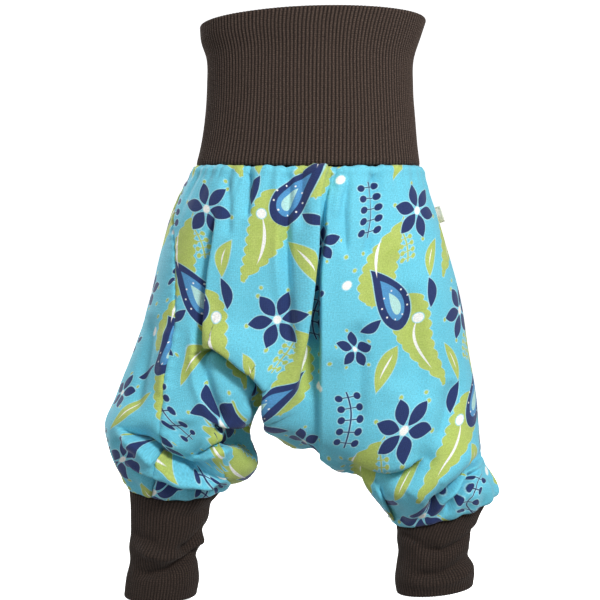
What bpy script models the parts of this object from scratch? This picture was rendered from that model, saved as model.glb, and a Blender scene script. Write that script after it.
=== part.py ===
"""Baby harem pants, worn form with no wearer: a tall doubled rib waistband, a gathered jersey front and back
that share one inseam round a dropped crotch, two rib cuffs and a small blank label in the side seam.

The origin is the middle of the waist. X runs to the wearer's left, the front faces -Y and Z is up.
Tables are in millimetres and are turned to metres as each mesh is made.
"""

import bpy
import numpy as np

MM = 0.001

# Cloth and seams
JERSEY_WALL = 1.6
RIB_WALL = 2.8
LABEL_WALL = 1.0
SEAM_GAP = 0.4
CORNER_GAP = 1.8  # where the inseam meets a cuff seam, and three edges have to pass each other
COLLAR = 1.5  # the straight strip of cloth that each panel has beside a seam

# Rib knit
RIB_HEIGHT = 0.9
WAIST_RIBS = 160
CUFF_RIBS = 62
FOLD_RISE = 0.55  # how far the folded free edge stands beyond the tube, as a share of RIB_WALL
FOLD_LEAN = 0.1  # how far that edge's crest lies outside the middle of the wall, as a share of RIB_WALL

# Heights of the rows of faces on a rib tube, from 0, its seam, to 1, its folded edge
BAND_HEIGHTS = (0.0, 0.14, 0.44, 0.72, 0.87, 1.0)
BAND_INNER_HEIGHTS = (0.0, 0.14, 0.72, 1.0)
BAND_INNER_COLUMNS = 64
CUFF_HEIGHTS = (0.0, 0.15, 0.38, 0.62, 0.82, 1.0)
CUFF_INNER_HEIGHTS = (0.0, 0.15, 0.62, 1.0)
CUFF_INNER_COLUMNS = 32

# A place on a ring is a share: 0 is the wearer's right side, 0 to 1 the front, 1 the left side, 1 to 2 the
# back.
RING_SAMPLES = 181
CUFF_SHARE = 0.36  # the share of each half ring that goes round a cuff; the rest meets the inseam

OVAL_POWER = 0.92  # 1 makes a level ring of the body an ellipse; less makes it fuller

# Columns of faces on a panel: right leg, middle, left leg
FRONT_COLUMNS = (14, 18, 14)
BACK_COLUMNS = (9, 10, 9)
PANEL_ROWS = 26
ROW_CROWDING = 0.484  # 0 spaces the rows evenly; more brings them together near the waist seam and the cuffs

# The ring of the waist seam, which the waistband and the body share: the columns of BAND_RINGS
WAIST_LEVEL = -60.5
WAIST_RING = (WAIST_LEVEL, -4.0, -1.0, 0.0, -1.6, 85.6, 63.0, 64.0)

# Level rings of the body. along: place from waist to hem; level: height of the sides; front_up, back_up: how
# much higher the middle of the front and back lie; tilt: how much higher the +X side lies than the middle;
# middle: x of the centre; front, back: depths.
BODY_COLUMNS = ("along", "level", "front_up", "back_up", "tilt", "middle", "half_width", "front", "back")
BODY_RINGS = (
    (0.00, *WAIST_RING),
    (0.10, -86.0, -2.0, -2.0, 0.0, -4.4, 98.6, 69.0, 72.0),
    (0.24, -125.0, 3.0, 0.0, 0.0, -4.4, 110.8, 71.0, 78.0),
    (0.38, -164.0, 11.0, 5.0, 0.0, -3.8, 120.6, 71.0, 80.0),
    (0.53, -203.0, 20.0, 14.0, 0.0, -7.0, 129.8, 69.0, 76.0),
    (0.66, -235.0, 28.0, 24.0, 0.0, -10.4, 138.8, 66.0, 70.0),
)

# How the cloth leaves the waist seam, as slopes in mm for each unit of along
WAIST_FLARE = 190.0
WAIST_FALL = 160.0

# How the cloth tucks in to the cuffs: its direction there, and how far up the tuck reaches
TUCK_INWARDS = 0.75
TUCK_DOWN = 0.55
TUCK_REACH = 1.5

# The fullest line of the cloth above the cuffs and the crotch, from the right side to the left side.
BLOUSE_ALONG = 0.86
BLOUSE_COLUMNS = ("share", "x", "z", "front", "back")
BLOUSE_LINE = (
    (0.00, -158.5, -270.0, 0.0, 0.0),
    (0.09, -148.0, -274.0, 33.0, 34.0),
    (0.19, -116.0, -281.0, 52.0, 54.0),
    (0.30, -82.0, -287.0, 50.0, 53.0),
    (0.37, -64.0, -286.0, 43.0, 46.0),
    (0.43, -57.0, -264.0, 43.0, 46.0),
    (0.47, -38.0, -240.0, 46.0, 50.0),
    (0.51, -22.0, -256.0, 43.0, 46.0),
    (0.55, -6.0, -266.0, 41.0, 43.0),
    (0.59, 15.0, -274.0, 41.0, 43.0),
    (0.64, 48.0, -294.0, 44.0, 46.0),
    (0.70, 74.0, -311.0, 49.0, 50.0),
    (0.80, 104.0, -303.0, 52.0, 54.0),
    (0.91, 127.0, -291.0, 34.0, 36.0),
    (1.00, 133.5, -284.0, 0.0, 0.0),
)

# The inseam, which the front and the back share at y = 0, as (x, z) between the right cuff and the left cuff.
INSEAM = (
    (-50.0, -302.5),
    (-41.5, -290.0),
    (-47.5, -266.0),
    (-37.4, -243.5),
    (-31.5, -262.0),
    (-14.0, -277.5),
    (7.0, -279.5),
    (19.0, -295.0),
    (40.0, -300.5),
    (52.0, -318.0),
)

# Where the side seams run: along the body, and the share of the ring that they lie at.
SIDE_SEAM_COLUMNS = ("along", "right", "left")
SIDE_SEAMS = (
    (0.00, 0.010, 1.012),
    (0.10, 0.050, 1.012),
    (0.24, 0.130, 1.014),
    (0.38, 0.165, 1.016),
    (0.53, 0.195, 1.018),
    (0.66, 0.205, 1.018),
    (0.86, 0.190, 1.016),
    (1.00, 0.120, 1.012),
)

# Rings of the waistband, from its seam to its folded top edge.
BAND_COLUMNS = ("level", "front_up", "back_up", "tilt", "middle", "half_width", "front", "back")
BAND_RINGS = (
    WAIST_RING,
    (-47.0, -3.0, -1.0, 0.0, -0.8, 83.0, 61.5, 62.5),
    (-24.0, -1.5, 0.0, 0.0, 0.0, 80.2, 60.0, 60.5),
    (2.0, 0.0, 0.0, 0.0, 0.0, 78.5, 59.5, 59.5),
    (25.0, 1.0, 0.0, 0.5, 0.2, 79.2, 60.0, 60.0),
    (40.0, 2.0, 0.0, 2.0, 0.8, 84.0, 62.5, 62.5),
    (50.2, 1.2, 0.0, 2.8, 2.2, 86.2, 64.0, 64.0),
)

# Rings of each cuff, from its seam to its lower edge. tilt: height gained from the middle to the +X side;
# front_up: how much higher the front lies than the middle.
CUFF_COLUMNS = ("x", "z", "half_width", "half_depth", "tilt", "front_up")
RIGHT_CUFF_RINGS = (
    (-104.0, -307.0, 35.6, 27.0, 0.0, -9.0),
    (-107.6, -320.5, 30.8, 26.0, 0.5, -7.0),
    (-109.4, -338.0, 28.8, 25.5, 1.0, -4.0),
    (-111.8, -353.0, 27.2, 25.0, 0.5, -2.0),
    (-113.8, -367.0, 24.9, 25.5, 0.0, -1.0),
    (-114.8, -380.0, 26.8, 25.0, -0.5, -1.0),
    (-116.6, -392.5, 26.6, 24.5, 0.5, -1.0),
)
LEFT_CUFF_RINGS = (
    (104.0, -326.8, 35.2, 27.0, 12.0, -4.0),
    (100.6, -336.0, 31.2, 26.0, 8.5, -3.0),
    (98.0, -346.0, 28.8, 25.5, 5.0, -2.0),
    (96.8, -358.5, 26.8, 25.5, 3.0, -1.0),
    (96.4, -369.0, 27.6, 25.0, 3.0, -1.0),
    (97.0, -379.0, 29.2, 24.5, 3.0, -1.0),
    (97.2, -387.5, 28.2, 24.0, 3.0, -1.0),
)

# Large folds. Each row holds a side (-1 front, 1 back), a height outwards (negative for a trough), the width
# of half the fold and a path of (x, z) points down its length.
FOLDS = (
    (-1, -9.0, 6.0, ((17, -66), (12, -90), (12, -118), (9, -160), (6, -195), (3, -228), (2, -262))),
    (-1, 4.5, 8.0, ((5, -72), (0, -92), (-2, -118), (-5, -158), (-10, -192), (-15, -218), (-19, -240))),
    (-1, 2.0, 9.0, ((31, -80), (27, -118), (24, -165), (22, -205))),
    (-1, -7.5, 8.0, ((-84, -204), (-64, -213), (-54, -226), (-50, -238))),
    (-1, 5.0, 11.0, ((-66, -188), (-45, -198), (-33, -216), (-25, -236), (-22, -254))),
    (-1, -2.5, 8.0, ((-77, -72), (-72, -110), (-75, -140), (-78, -192))),
    (-1, 1.8, 9.0, ((-62, -90), (-58, -130), (-60, -170))),
    (-1, -2.5, 8.0, ((-19, -100), (-15, -135), (-13, -168))),
    (-1, -3.0, 10.0, ((62, -140), (66, -175), (66, -219))),
    (-1, 2.0, 13.0, ((88, -150), (90, -200), (86, -240))),
    (-1, -4.0, 8.5, ((-90, -196), (-91, -214), (-86, -227), (-72, -236), (-60, -244))),
    (-1, -5.0, 7.0, ((-124, -264), (-113, -272), (-104, -281), (-91, -287), (-77, -290))),
    (-1, 3.5, 6.5, ((-136, -274), (-119, -283), (-98, -293), (-70, -298))),
    (-1, -5.0, 8.0, ((-66, -256), (-56, -265), (-47, -274))),
    (-1, -6.0, 8.0, ((34, -291), (56, -297), (71, -294), (82, -287), (87, -283))),
    (-1, 2.5, 8.0, ((60, -309), (80, -309), (100, -300), (118, -284))),
    (-1, -3.0, 6.5, ((131, -294), (120, -304), (108, -315), (94, -325))),
    (-1, -2.5, 9.0, ((100, -240), (96, -262), (84, -280))),
    (1, -6.0, 8.0, ((-4, -66), (-6, -100), (-3, -140), (-6, -185), (-8, -225), (-5, -262))),
    (1, 3.0, 11.0, ((14, -80), (14, -120), (12, -170), (8, -215))),
    (1, 2.5, 11.0, ((-26, -82), (-28, -125), (-29, -175), (-30, -220))),
    (1, -3.5, 10.0, ((52, -86), (57, -125), (55, -170), (48, -205))),
    (1, 2.5, 12.0, ((82, -110), (86, -160), (80, -210))),
    (1, -3.5, 10.0, ((-60, -80), (-66, -120), (-70, -165), (-66, -200))),
    (1, 2.0, 12.0, ((-92, -120), (-100, -170), (-98, -215))),
    (1, -5.0, 10.0, ((-90, -200), (-66, -215), (-52, -232), (-45, -250))),
    (1, -4.0, 10.0, ((84, -205), (62, -222), (42, -243), (26, -268))),
    (1, -5.0, 8.5, ((-128, -268), (-110, -276), (-92, -288), (-76, -289))),
    (1, 3.0, 8.5, ((-132, -280), (-108, -292), (-82, -301))),
    (1, -5.0, 8.5, ((46, -292), (66, -300), (86, -294), (102, -284))),
    (1, 3.0, 8.5, ((64, -312), (90, -312), (116, -300))),
)

# Folds fade out over this much of along below the waist seam and above the lower edge, and over this many mm
# where the front turns into the back.
FOLD_START = 0.03
FOLD_END = 0.06
SIDE_FADE = 4.0

# Gathers just below the waist seam. Each row holds a place on the seam as a share, a depth, the width of half
# the gather and how far down it reaches.
HALF_WAIST = 237.0  # the length of half the waist seam
GATHER_START = 3.0  # how far below the seam a gather reaches its depth
GATHERS = (
    (0.060, 1.6, 3.6, 26.0),
    (0.125, 2.2, 3.8, 34.0),
    (0.190, 1.5, 3.4, 22.0),
    (0.262, 1.9, 3.6, 30.0),
    (0.330, 2.6, 4.0, 40.0),
    (0.395, 1.6, 3.4, 24.0),
    (0.442, 2.4, 3.8, 34.0),
    (0.500, 1.6, 3.4, 26.0),
    (0.585, 2.8, 3.8, 22.0),
    (0.632, 2.4, 3.4, 20.0),
    (0.700, 2.8, 4.2, 46.0),
    (0.775, 1.8, 3.6, 30.0),
    (0.850, 1.6, 3.6, 28.0),
    (0.930, 2.2, 3.8, 30.0),
    (1.042, 2.7, 6.0, 34.0),
    (1.138, 2.6, 6.0, 33.0),
    (1.190, 1.6, 5.5, 20.0),
    (1.305, 1.4, 5.5, 19.0),
    (1.372, 2.8, 6.0, 38.0),
    (1.448, 2.9, 6.0, 38.0),
    (1.558, 1.5, 5.5, 20.0),
    (1.608, 1.3, 5.5, 16.0),
    (1.715, 2.6, 6.0, 33.0),
    (1.796, 2.7, 6.0, 36.0),
    (1.862, 1.8, 5.5, 22.0),
    (1.975, 1.4, 5.5, 18.0),
)

# Small gathers where each leg is sewn to its cuff. Their spacing varies by the sway, and they stop before the
# inseam.
CUFF_GATHERS = 13
CUFF_GATHER_DEPTH = 1.3
CUFF_GATHER_REACH = 0.13
CUFF_GATHER_SWAY = 1.3
CUFF_GATHER_STOP = 0.15

# Creases of the cuffs, in the same rows as the folds
CUFF_FOLDS = (
    (-1, -1.8, 6.0, ((-76, -324), (-84, -336), (-96, -352))),
    (-1, 1.2, 6.0, ((-80, -338), (-92, -352), (-112, -360), (-134, -356))),
    (-1, -1.6, 6.0, ((-84, -356), (-100, -364), (-112, -372))),
    (-1, -1.4, 6.0, ((126, -352), (112, -360), (96, -366))),
    (-1, 1.0, 6.0, ((120, -376), (100, -380), (76, -378))),
    (1, -1.5, 6.0, ((-136, -346), (-114, -356), (-94, -352))),
    (1, -1.5, 6.0, ((74, -356), (96, -362), (120, -354))),
)

# The label in the left side seam: its place along the body, how far it stands out, how much it leans
# forwards, and how far in front of the seam and clear of the cloth its root lies
LABEL_TOP = 0.122
LABEL_BOTTOM = 0.166
LABEL_REACH = 6.0
LABEL_FORWARD = 1.6
LABEL_SHIFT = 0.012
LABEL_CLEARANCE = 0.3
LABEL_ROWS = 5
LABEL_COLUMNS = 3

SLOPE_STEP = 0.004  # the step over which the body's slopes are measured

# Colours as linear values
RIB_COLOUR = (0.044, 0.031, 0.026)
CUFF_COLOUR = (0.030, 0.020, 0.017)
JERSEY_COLOUR = (0.150, 0.610, 0.780)
LABEL_COLOUR = (0.800, 0.790, 0.760)


def column(table, names, name):
    """One named column of a table, as an array."""
    at = names.index(name)
    return np.array([row[at] for row in table], float)


def knot_slopes(knots, values):
    """The slopes at each knot of a smooth curve through values, which has a row for each knot."""
    steps = np.diff(knots).reshape((-1,) + (1,) * (values.ndim - 1))
    rises = np.diff(values, axis=0) / steps
    inner = (rises[:-1] * steps[1:] + rises[1:] * steps[:-1]) / (steps[1:] + steps[:-1])
    return np.concatenate([rises[:1], inner, rises[-1:]])


def find_spans(knots, at):
    """For each place: the number of its span between knots, how far along the span it lies and the span's
    width."""
    spans = np.clip(np.searchsorted(knots, at, side="right") - 1, 0, len(knots) - 2)
    width = knots[spans + 1] - knots[spans]
    return spans, (at - knots[spans]) / width, width


def cubic(t, width, low, high, low_slope, high_slope):
    """The value t of the way between low and high, on the cubic that has these slopes at its ends."""
    return (
        (2 * t**3 - 3 * t**2 + 1) * low
        + (t**3 - 2 * t**2 + t) * width * low_slope
        + (3 * t**2 - 2 * t**3) * high
        + (t**3 - t**2) * width * high_slope
    )


def smooth(knots, values, at):
    """A smooth curve through values, which has a row for each knot, read at a row of places."""
    values = np.asarray(values, float)
    slopes = knot_slopes(knots, values)
    spans, t, width = find_spans(knots, np.asarray(at, float))
    as_rows = (-1,) + (1,) * (values.ndim - 1)
    t, width = t.reshape(as_rows), width.reshape(as_rows)
    return cubic(t, width, values[spans], values[spans + 1], slopes[spans], slopes[spans + 1])


def smooth_each(knots, rows, at, start, end):
    """For each element of at, the point there on its own smooth curve through the rows. start and end are the
    curves' slopes at the first and last row."""
    slopes = knot_slopes(knots, rows)
    slopes[0] = start
    slopes[-1] = end
    spans, t, width = find_spans(knots, at)

    def pick(values, which):
        return np.take_along_axis(values, which[None, ..., None], axis=0)[0]

    return cubic(t[..., None], width[..., None], pick(rows, spans), pick(rows, spans + 1),
                 pick(slopes, spans), pick(slopes, spans + 1))


def spread_evenly(points, count):
    """A line of points replaced by as many as asked, evenly spaced along it."""
    length = np.concatenate([[0.0], np.cumsum(np.linalg.norm(np.diff(points, axis=0), axis=1))])
    at = np.linspace(0.0, length[-1], count)
    return np.stack([np.interp(at, length, points[:, axis]) for axis in range(3)], axis=1)


def half_ring(ring, side):
    """Half an oval from the right side to the left: side -1 goes round the front and 1 round the back."""
    level, front_up, back_up, tilt, middle, half_width, front, back = ring
    depth, up = (front, front_up) if side < 0 else (back, back_up)
    turn = np.linspace(0.0, np.pi, RING_SAMPLES)
    lift = np.sin(turn) ** 2
    x = middle - half_width * np.cos(turn)
    z = level + up * lift - tilt * np.cos(turn)
    y = side * depth * np.sin(turn) ** OVAL_POWER
    return spread_evenly(np.stack([x, y, z], axis=1), RING_SAMPLES)


def cuff_half_ring(ring, side):
    """Half an oval round a cuff, from its -X side to its +X side."""
    x, z, half_width, half_depth, tilt, front_up = ring
    turn = np.linspace(0.0, np.pi, RING_SAMPLES)
    across = -np.cos(turn)
    deep = side * np.sin(turn)
    points = [x + half_width * across, half_depth * deep, z + tilt * across - front_up * deep]
    return spread_evenly(np.stack(points, axis=1), RING_SAMPLES)


def closed_row(front, back):
    """Both halves of a ring as points at shares from 0 to 2."""
    points = np.concatenate([front, back[::-1][1:]])
    shares = np.concatenate([np.linspace(0, 1, len(front)), np.linspace(1, 2, len(back))[1:]])
    return shares, points


def read_row(row, share):
    """The points of a closed row at any shares."""
    shares, points = row
    at = np.mod(share, 2.0)
    return np.stack([np.interp(at, shares, points[:, axis]) for axis in range(3)], axis=-1)


def blouse_row():
    """The fullest line, read from its table as smooth curves for the front and the back."""
    knots = column(BLOUSE_LINE, BLOUSE_COLUMNS, "share")
    at = np.linspace(0.0, 1.0, RING_SAMPLES)
    x = smooth(knots, column(BLOUSE_LINE, BLOUSE_COLUMNS, "x"), at)
    z = smooth(knots, column(BLOUSE_LINE, BLOUSE_COLUMNS, "z"), at)
    halves = []
    for side, name in ((-1, "front"), (1, "back")):
        depth = smooth(knots, column(BLOUSE_LINE, BLOUSE_COLUMNS, name), at)
        halves.append(np.stack([x, side * depth, z], axis=1))
    return closed_row(*halves)


def inseam_line():
    """The inseam as evenly spaced points, from the inner side of one cuff to that of the other."""
    first = cuff_half_ring(RIGHT_CUFF_RINGS[0], -1)[-1]
    last = cuff_half_ring(LEFT_CUFF_RINGS[0], -1)[0]
    points = np.array([first] + [(x, 0.0, z) for x, z in INSEAM] + [last])
    knots = np.arange(len(points), dtype=float)
    dense = smooth(knots, points, np.linspace(0, len(points) - 1, RING_SAMPLES))
    return spread_evenly(dense, RING_SAMPLES)


def bottom_rows():
    """The lower edge of the body; the direction in which the cloth arrives there; and the direction up the
    cloth's straight strip beside it.

    The edge goes round half of one cuff, up and down the inseam and round half of the other."""
    edges, arrivals, collars = [], [], []
    round_cuff = int(round(CUFF_SHARE * (RING_SAMPLES - 1))) + 1
    along_seam = RING_SAMPLES - 2 * (round_cuff - 1)
    seam_span = slice(round_cuff - 1, round_cuff - 1 + along_seam)
    middle = spread_evenly(inseam_line(), along_seam)
    for side in (-1, 1):
        right = spread_evenly(cuff_half_ring(RIGHT_CUFF_RINGS[0], side), round_cuff)
        left = spread_evenly(cuff_half_ring(LEFT_CUFF_RINGS[0], side), round_cuff)
        edge = np.concatenate([right[:-1], middle, left[1:]])
        arrival = np.zeros_like(edge)
        collar = np.zeros_like(edge)
        arrival[seam_span] = (0.0, -side, 0.0)
        collar[seam_span] = (0.0, side, 0.0)
        left_start = RING_SAMPLES - round_cuff
        for ring, rings, first in ((right, RIGHT_CUFF_RINGS, 0), (left, LEFT_CUFF_RINGS, left_start)):
            top, below = [np.array([row[0], 0.0, row[1]]) for row in rings[:2]]
            down = (below - top) / np.linalg.norm(below - top)
            inwards = top - ring
            inwards -= np.outer(inwards @ down, down)
            inwards /= np.linalg.norm(inwards, axis=1)[:, None]
            cuff_span = slice(first, first + round_cuff)
            arrival[cuff_span] += TUCK_INWARDS * inwards + TUCK_DOWN * down
            collar[cuff_span] -= down
        edges.append(edge)
        arrivals.append(arrival / np.linalg.norm(arrival, axis=1)[:, None])
        collars.append(collar)
    return closed_row(*edges), closed_row(*arrivals), closed_row(*collars)


BODY_ROWS = [closed_row(half_ring(ring[1:], -1), half_ring(ring[1:], 1)) for ring in BODY_RINGS]
BLOUSE_ROW = blouse_row()
EDGE_ROW, ARRIVAL_ROW, COLLAR_ROW = bottom_rows()
KNOTS = np.concatenate([column(BODY_RINGS, BODY_COLUMNS, "along"), [BLOUSE_ALONG, 1.0]])


def body_form(share, along):
    """The body with no folds. It passes through the level rings, the fullest line and the lower edge."""
    rows = np.stack([read_row(row, share) for row in (*BODY_ROWS, BLOUSE_ROW, EDGE_ROW)])
    outwards = rows[0] * (1.0, 1.0, 0.0)
    outwards /= np.linalg.norm(outwards, axis=-1, keepdims=True)
    start = WAIST_FLARE * outwards - (0.0, 0.0, WAIST_FALL)
    last_step = np.linalg.norm(rows[-1] - rows[-2], axis=-1, keepdims=True)
    end = read_row(ARRIVAL_ROW, share) * last_step * TUCK_REACH / (KNOTS[-1] - KNOTS[-2])
    return smooth_each(KNOTS, rows, along, start, end)


def outward(share, along):
    """The direction out of the body, from the form's slopes both ways."""
    low, high = np.clip(along - SLOPE_STEP, 0, 1), np.clip(along + SLOPE_STEP, 0, 1)
    across = body_form(share + SLOPE_STEP, along) - body_form(share - SLOPE_STEP, along)
    down = body_form(share, high) - body_form(share, low)
    normal = np.cross(down, across)
    return normal / np.maximum(np.linalg.norm(normal, axis=-1, keepdims=True), 1e-9)


def fold_relief(points, folds):
    """How far each fold moves the points outwards: its height times a bell curve of the distance, seen from
    the front, to its path, fading at the path's ends."""
    relief = np.zeros(points.shape[:-1])
    flat = points[..., [0, 2]]
    for side, height, width, path in folds:
        ends = np.array(path, float)
        nearest = np.full(relief.shape, np.inf)
        for first, last in zip(ends[:-1], ends[1:]):
            run = last - first
            t = np.clip(((flat - first) @ run) / (run @ run), 0.0, 1.0)
            gap = np.linalg.norm(flat - first - t[..., None] * run, axis=-1)
            nearest = np.minimum(nearest, gap)
        same_side = 1 / (1 + np.exp(-side * points[..., 1] / SIDE_FADE))
        relief += height * np.exp(-((nearest / width) ** 2)) * same_side
    return relief


def gather_relief(share, points):
    """The gathers below the waist seam: narrow troughs that start at the seam and fade out downwards."""
    below = WAIST_LEVEL - points[..., 2]
    start = 1 - np.exp(-below / GATHER_START)
    relief = np.zeros(share.shape)
    for place, depth, width, reach in GATHERS:
        across = (share - place) * HALF_WAIST / width
        relief -= depth * np.exp(-(across**2)) * start * np.exp(-((below / reach) ** 2))
    return relief


def cuff_gather_relief(share, along):
    """Small even puckers round each cuff seam, which fade upwards and stop before the inseam."""
    from_side = np.abs(np.mod(share + 0.5, 1.0) - 0.5) / CUFF_SHARE
    inside = np.clip((1.0 - from_side) / CUFF_GATHER_STOP, 0.0, 1.0)
    wave = np.cos(np.pi * CUFF_GATHERS * from_side + CUFF_GATHER_SWAY * np.sin(5.0 * share))
    fade = np.exp(-(((1.0 - along) / CUFF_GATHER_REACH) ** 2))
    return CUFF_GATHER_DEPTH * wave * fade * inside


def body_surface(share, along):
    """The body with its folds and gathers, which vanish at the waist seam, the cuffs and the inseam."""
    points = body_form(share, along)
    relief = fold_relief(points, FOLDS) + cuff_gather_relief(share, along)
    inside = np.clip(along / FOLD_START, 0, 1) * np.clip((1 - along) / FOLD_END, 0, 1)
    relief = relief * inside + gather_relief(share, points)
    return points + relief[..., None] * outward(share, along)


def panel_shares(along, columns, side):
    """The shares of a panel's columns at each place along the body. The columns meet the ends of the
    inseam."""
    knots = column(SIDE_SEAMS, SIDE_SEAM_COLUMNS, "along")
    right = smooth(knots, column(SIDE_SEAMS, SIDE_SEAM_COLUMNS, "right"), along)
    left = smooth(knots, column(SIDE_SEAMS, SIDE_SEAM_COLUMNS, "left"), along)
    if side < 0:
        stops = [right, 0 * along + CUFF_SHARE, 0 * along + 1 - CUFF_SHARE, left]
    else:
        stops = [left, 0 * along + 1 + CUFF_SHARE, 0 * along + 2 - CUFF_SHARE, 2 + right]
    parts = []
    for first, last, count in zip(stops[:-1], stops[1:], columns):
        t = np.linspace(0, 1, count, endpoint=False)
        parts.append(first[:, None] * (1 - t) + last[:, None] * t)
    parts.append(stops[-1][:, None])
    return np.concatenate(parts, axis=1)


def row_places():
    """Places along the body, closer together near the waist seam and the cuffs."""
    t = np.linspace(0.0, 1.0, PANEL_ROWS - 2)
    return t - ROW_CROWDING * np.sin(2 * np.pi * t) / (2 * np.pi)


def panel_points(columns, side):
    """A panel as a grid of points from the waist seam to the lower edge, half a seam gap in from each edge.
    It has a straight strip beside the waist seam and beside the lower edge."""
    places = row_places()
    shares = panel_shares(places, columns, side)
    along = np.repeat(places[:, None], shares.shape[1], axis=1)
    grid = body_surface(shares, along)
    for edge, beside in ((0, 1), (-1, -2)):
        inwards = grid[:, beside] - grid[:, edge]
        grid[:, edge] += inwards / np.linalg.norm(inwards, axis=1)[:, None] * SEAM_GAP / 2
    waist = grid[0] - (0.0, 0.0, SEAM_GAP / 2)
    top = [waist, waist - (0.0, 0.0, COLLAR)]
    collar = read_row(COLLAR_ROW, shares[-1])
    at_corner = np.linalg.norm(collar, axis=1) > 1.01  # a corner's collar is the sum of two directions
    hem = grid[-1] + collar * np.where(at_corner, CORNER_GAP, SEAM_GAP)[:, None] / 2
    bottom = [hem + collar * COLLAR, hem]
    return np.concatenate([np.stack(top), grid[1:-1], np.stack(bottom)])


def grid_faces(rows, columns, closed=False):
    """Faces of a grid of points. closed joins the last column to the first."""
    across = columns if closed else columns - 1
    faces = []
    for row in range(rows - 1):
        for at in range(across):
            following = (at + 1) % columns
            faces.append((row * columns + at, row * columns + following,
                          (row + 1) * columns + following, (row + 1) * columns + at))
    return faces


def material(name, colour, roughness):
    made = bpy.data.materials.new(name)
    made.use_nodes = True
    shader = made.node_tree.nodes["Principled BSDF"]
    shader.inputs["Base Color"].default_value = (*colour, 1.0)
    shader.inputs["Roughness"].default_value = roughness
    shader.inputs["Metallic"].default_value = 0.0
    made.diffuse_color = (*colour, 1.0)
    return made


def add_object(name, points, faces, finish, collection):
    mesh = bpy.data.meshes.new(name)
    mesh.from_pydata((np.asarray(points) * MM).tolist(), [], faces)
    mesh.validate()
    mesh.update()
    mesh.shade_smooth()
    mesh.materials.append(finish)
    made = bpy.data.objects.new(name, mesh)
    collection.objects.link(made)
    return made


def add_wall(made, wall):
    """Gives a sheet its wall, half on each side."""
    thick = made.modifiers.new("wall", "SOLIDIFY")
    thick.thickness = wall * MM
    thick.offset = 0.0
    thick.use_even_offset = False


def make_panel(name, columns, side, finish, collection):
    grid = panel_points(columns, side)
    rows, across = grid.shape[:2]
    made = add_object(name, grid.reshape(-1, 3), grid_faces(rows, across), finish, collection)
    add_wall(made, JERSEY_WALL)


def bridge(first, last):
    """Triangles between two closed loops of unlike counts, given as lists of point numbers."""
    faces = []
    a, b = 0, 0
    while a < len(first) or b < len(last):
        if b == len(last) or (a < len(first) and (a + 1) * len(last) <= (b + 1) * len(first)):
            faces.append((first[a % len(first)], first[(a + 1) % len(first)], last[b % len(last)]))
            a += 1
        else:
            faces.append((first[a % len(first)], last[(b + 1) % len(last)], last[b % len(last)]))
            b += 1
    return faces


def ring_normals(loop_rows):
    """Outward directions of a tube given as rows of closed loops. At the seam, the first row, they are square
    to the tube's axis, so that the wall's end lies flat against the panel that it is sewn to."""
    across = np.roll(loop_rows, -1, axis=1) - np.roll(loop_rows, 1, axis=1)
    along = np.gradient(loop_rows, axis=0)
    normal = np.cross(along, across)
    centre = loop_rows.mean(axis=1, keepdims=True)
    facing = np.sign((normal * (loop_rows - centre)).sum(axis=(1, 2), keepdims=True))
    normal *= facing
    axis = (loop_rows[1] - loop_rows[0]).mean(axis=0)
    axis /= np.linalg.norm(axis)
    normal[0] -= np.outer(normal[0] @ axis, axis)
    return normal / np.linalg.norm(normal, axis=-1, keepdims=True)


def tube_middle(rings, levels, half, share, heights):
    """Loops of points round the middle of a tube's wall, at heights from 0, the seam, to 1, the free edge.
    half makes half a ring. The first ring stands back from the seam by half a seam gap."""
    loops = np.stack([read_row(closed_row(half(ring, -1), half(ring, 1)), share) for ring in rings])
    away = (loops[1] - loops[0]).mean(axis=0)
    loops[0] += away / np.linalg.norm(away) * SEAM_GAP / 2
    return smooth((levels - levels[0]) / (levels[-1] - levels[0]), loops, heights)


def make_ribbed_tube(name, middle, inner_middle, folds, finish, collection):
    """A tube of rib knit whose free edge is a soft fold, from the loops of its wall's middle: one for every
    side of a rib, and fewer for the inside. The outside is raised in ribs, and the inside is plain."""
    normal = ring_normals(middle)
    columns = middle.shape[1]
    rib = np.where(np.arange(columns) % 2 == 0, 0.5, -0.5) * RIB_HEIGHT
    outer = middle + normal * (RIB_WALL / 2 + fold_relief(middle, folds) + rib)[..., None]
    inner_depth = RIB_WALL / 2 - fold_relief(inner_middle, folds)
    inner = inner_middle - ring_normals(inner_middle) * inner_depth[..., None]
    edge = middle[-1] - middle[-2]
    edge /= np.linalg.norm(edge, axis=1)[:, None]
    crest = middle[-1] + edge * RIB_WALL * FOLD_RISE + normal[-1] * (FOLD_LEAN * RIB_WALL + rib / 2)[:, None]
    outer = np.concatenate([outer, crest[None]])
    rows = len(outer)
    inner_rows, inner_columns = inner.shape[:2]
    start = rows * columns
    inner_loops = start + np.arange(inner_rows * inner_columns).reshape(inner_rows, inner_columns)
    outer_loops = np.arange(start).reshape(rows, columns)
    faces = grid_faces(rows, columns, closed=True)
    inner_faces = grid_faces(inner_rows, inner_columns, closed=True)
    faces += [tuple(start + i for i in face[::-1]) for face in inner_faces]
    faces += bridge(outer_loops[-1].tolist(), inner_loops[-1].tolist())
    faces += [face[::-1] for face in bridge(outer_loops[0].tolist(), inner_loops[0].tolist())]
    points = np.concatenate([outer.reshape(-1, 3), inner.reshape(-1, 3)])
    made = add_object(name, points, faces, finish, collection)
    face_out(made)


def face_out(made):
    """Turns a closed mesh so that its faces point outwards."""
    mesh = made.data
    mesh.calc_loop_triangles()
    points = np.empty(len(mesh.vertices) * 3)
    mesh.vertices.foreach_get("co", points)
    corners = np.empty(len(mesh.loop_triangles) * 3, np.int32)
    mesh.loop_triangles.foreach_get("vertices", corners)
    triangles = points.reshape(-1, 3)[corners.reshape(-1, 3)]
    if np.linalg.det(triangles).sum() < 0:
        mesh.flip_normals()


def spread_shares(count):
    """As many shares as asked, evenly spaced round a ring."""
    return np.linspace(0.0, 2.0, count, endpoint=False)


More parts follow.
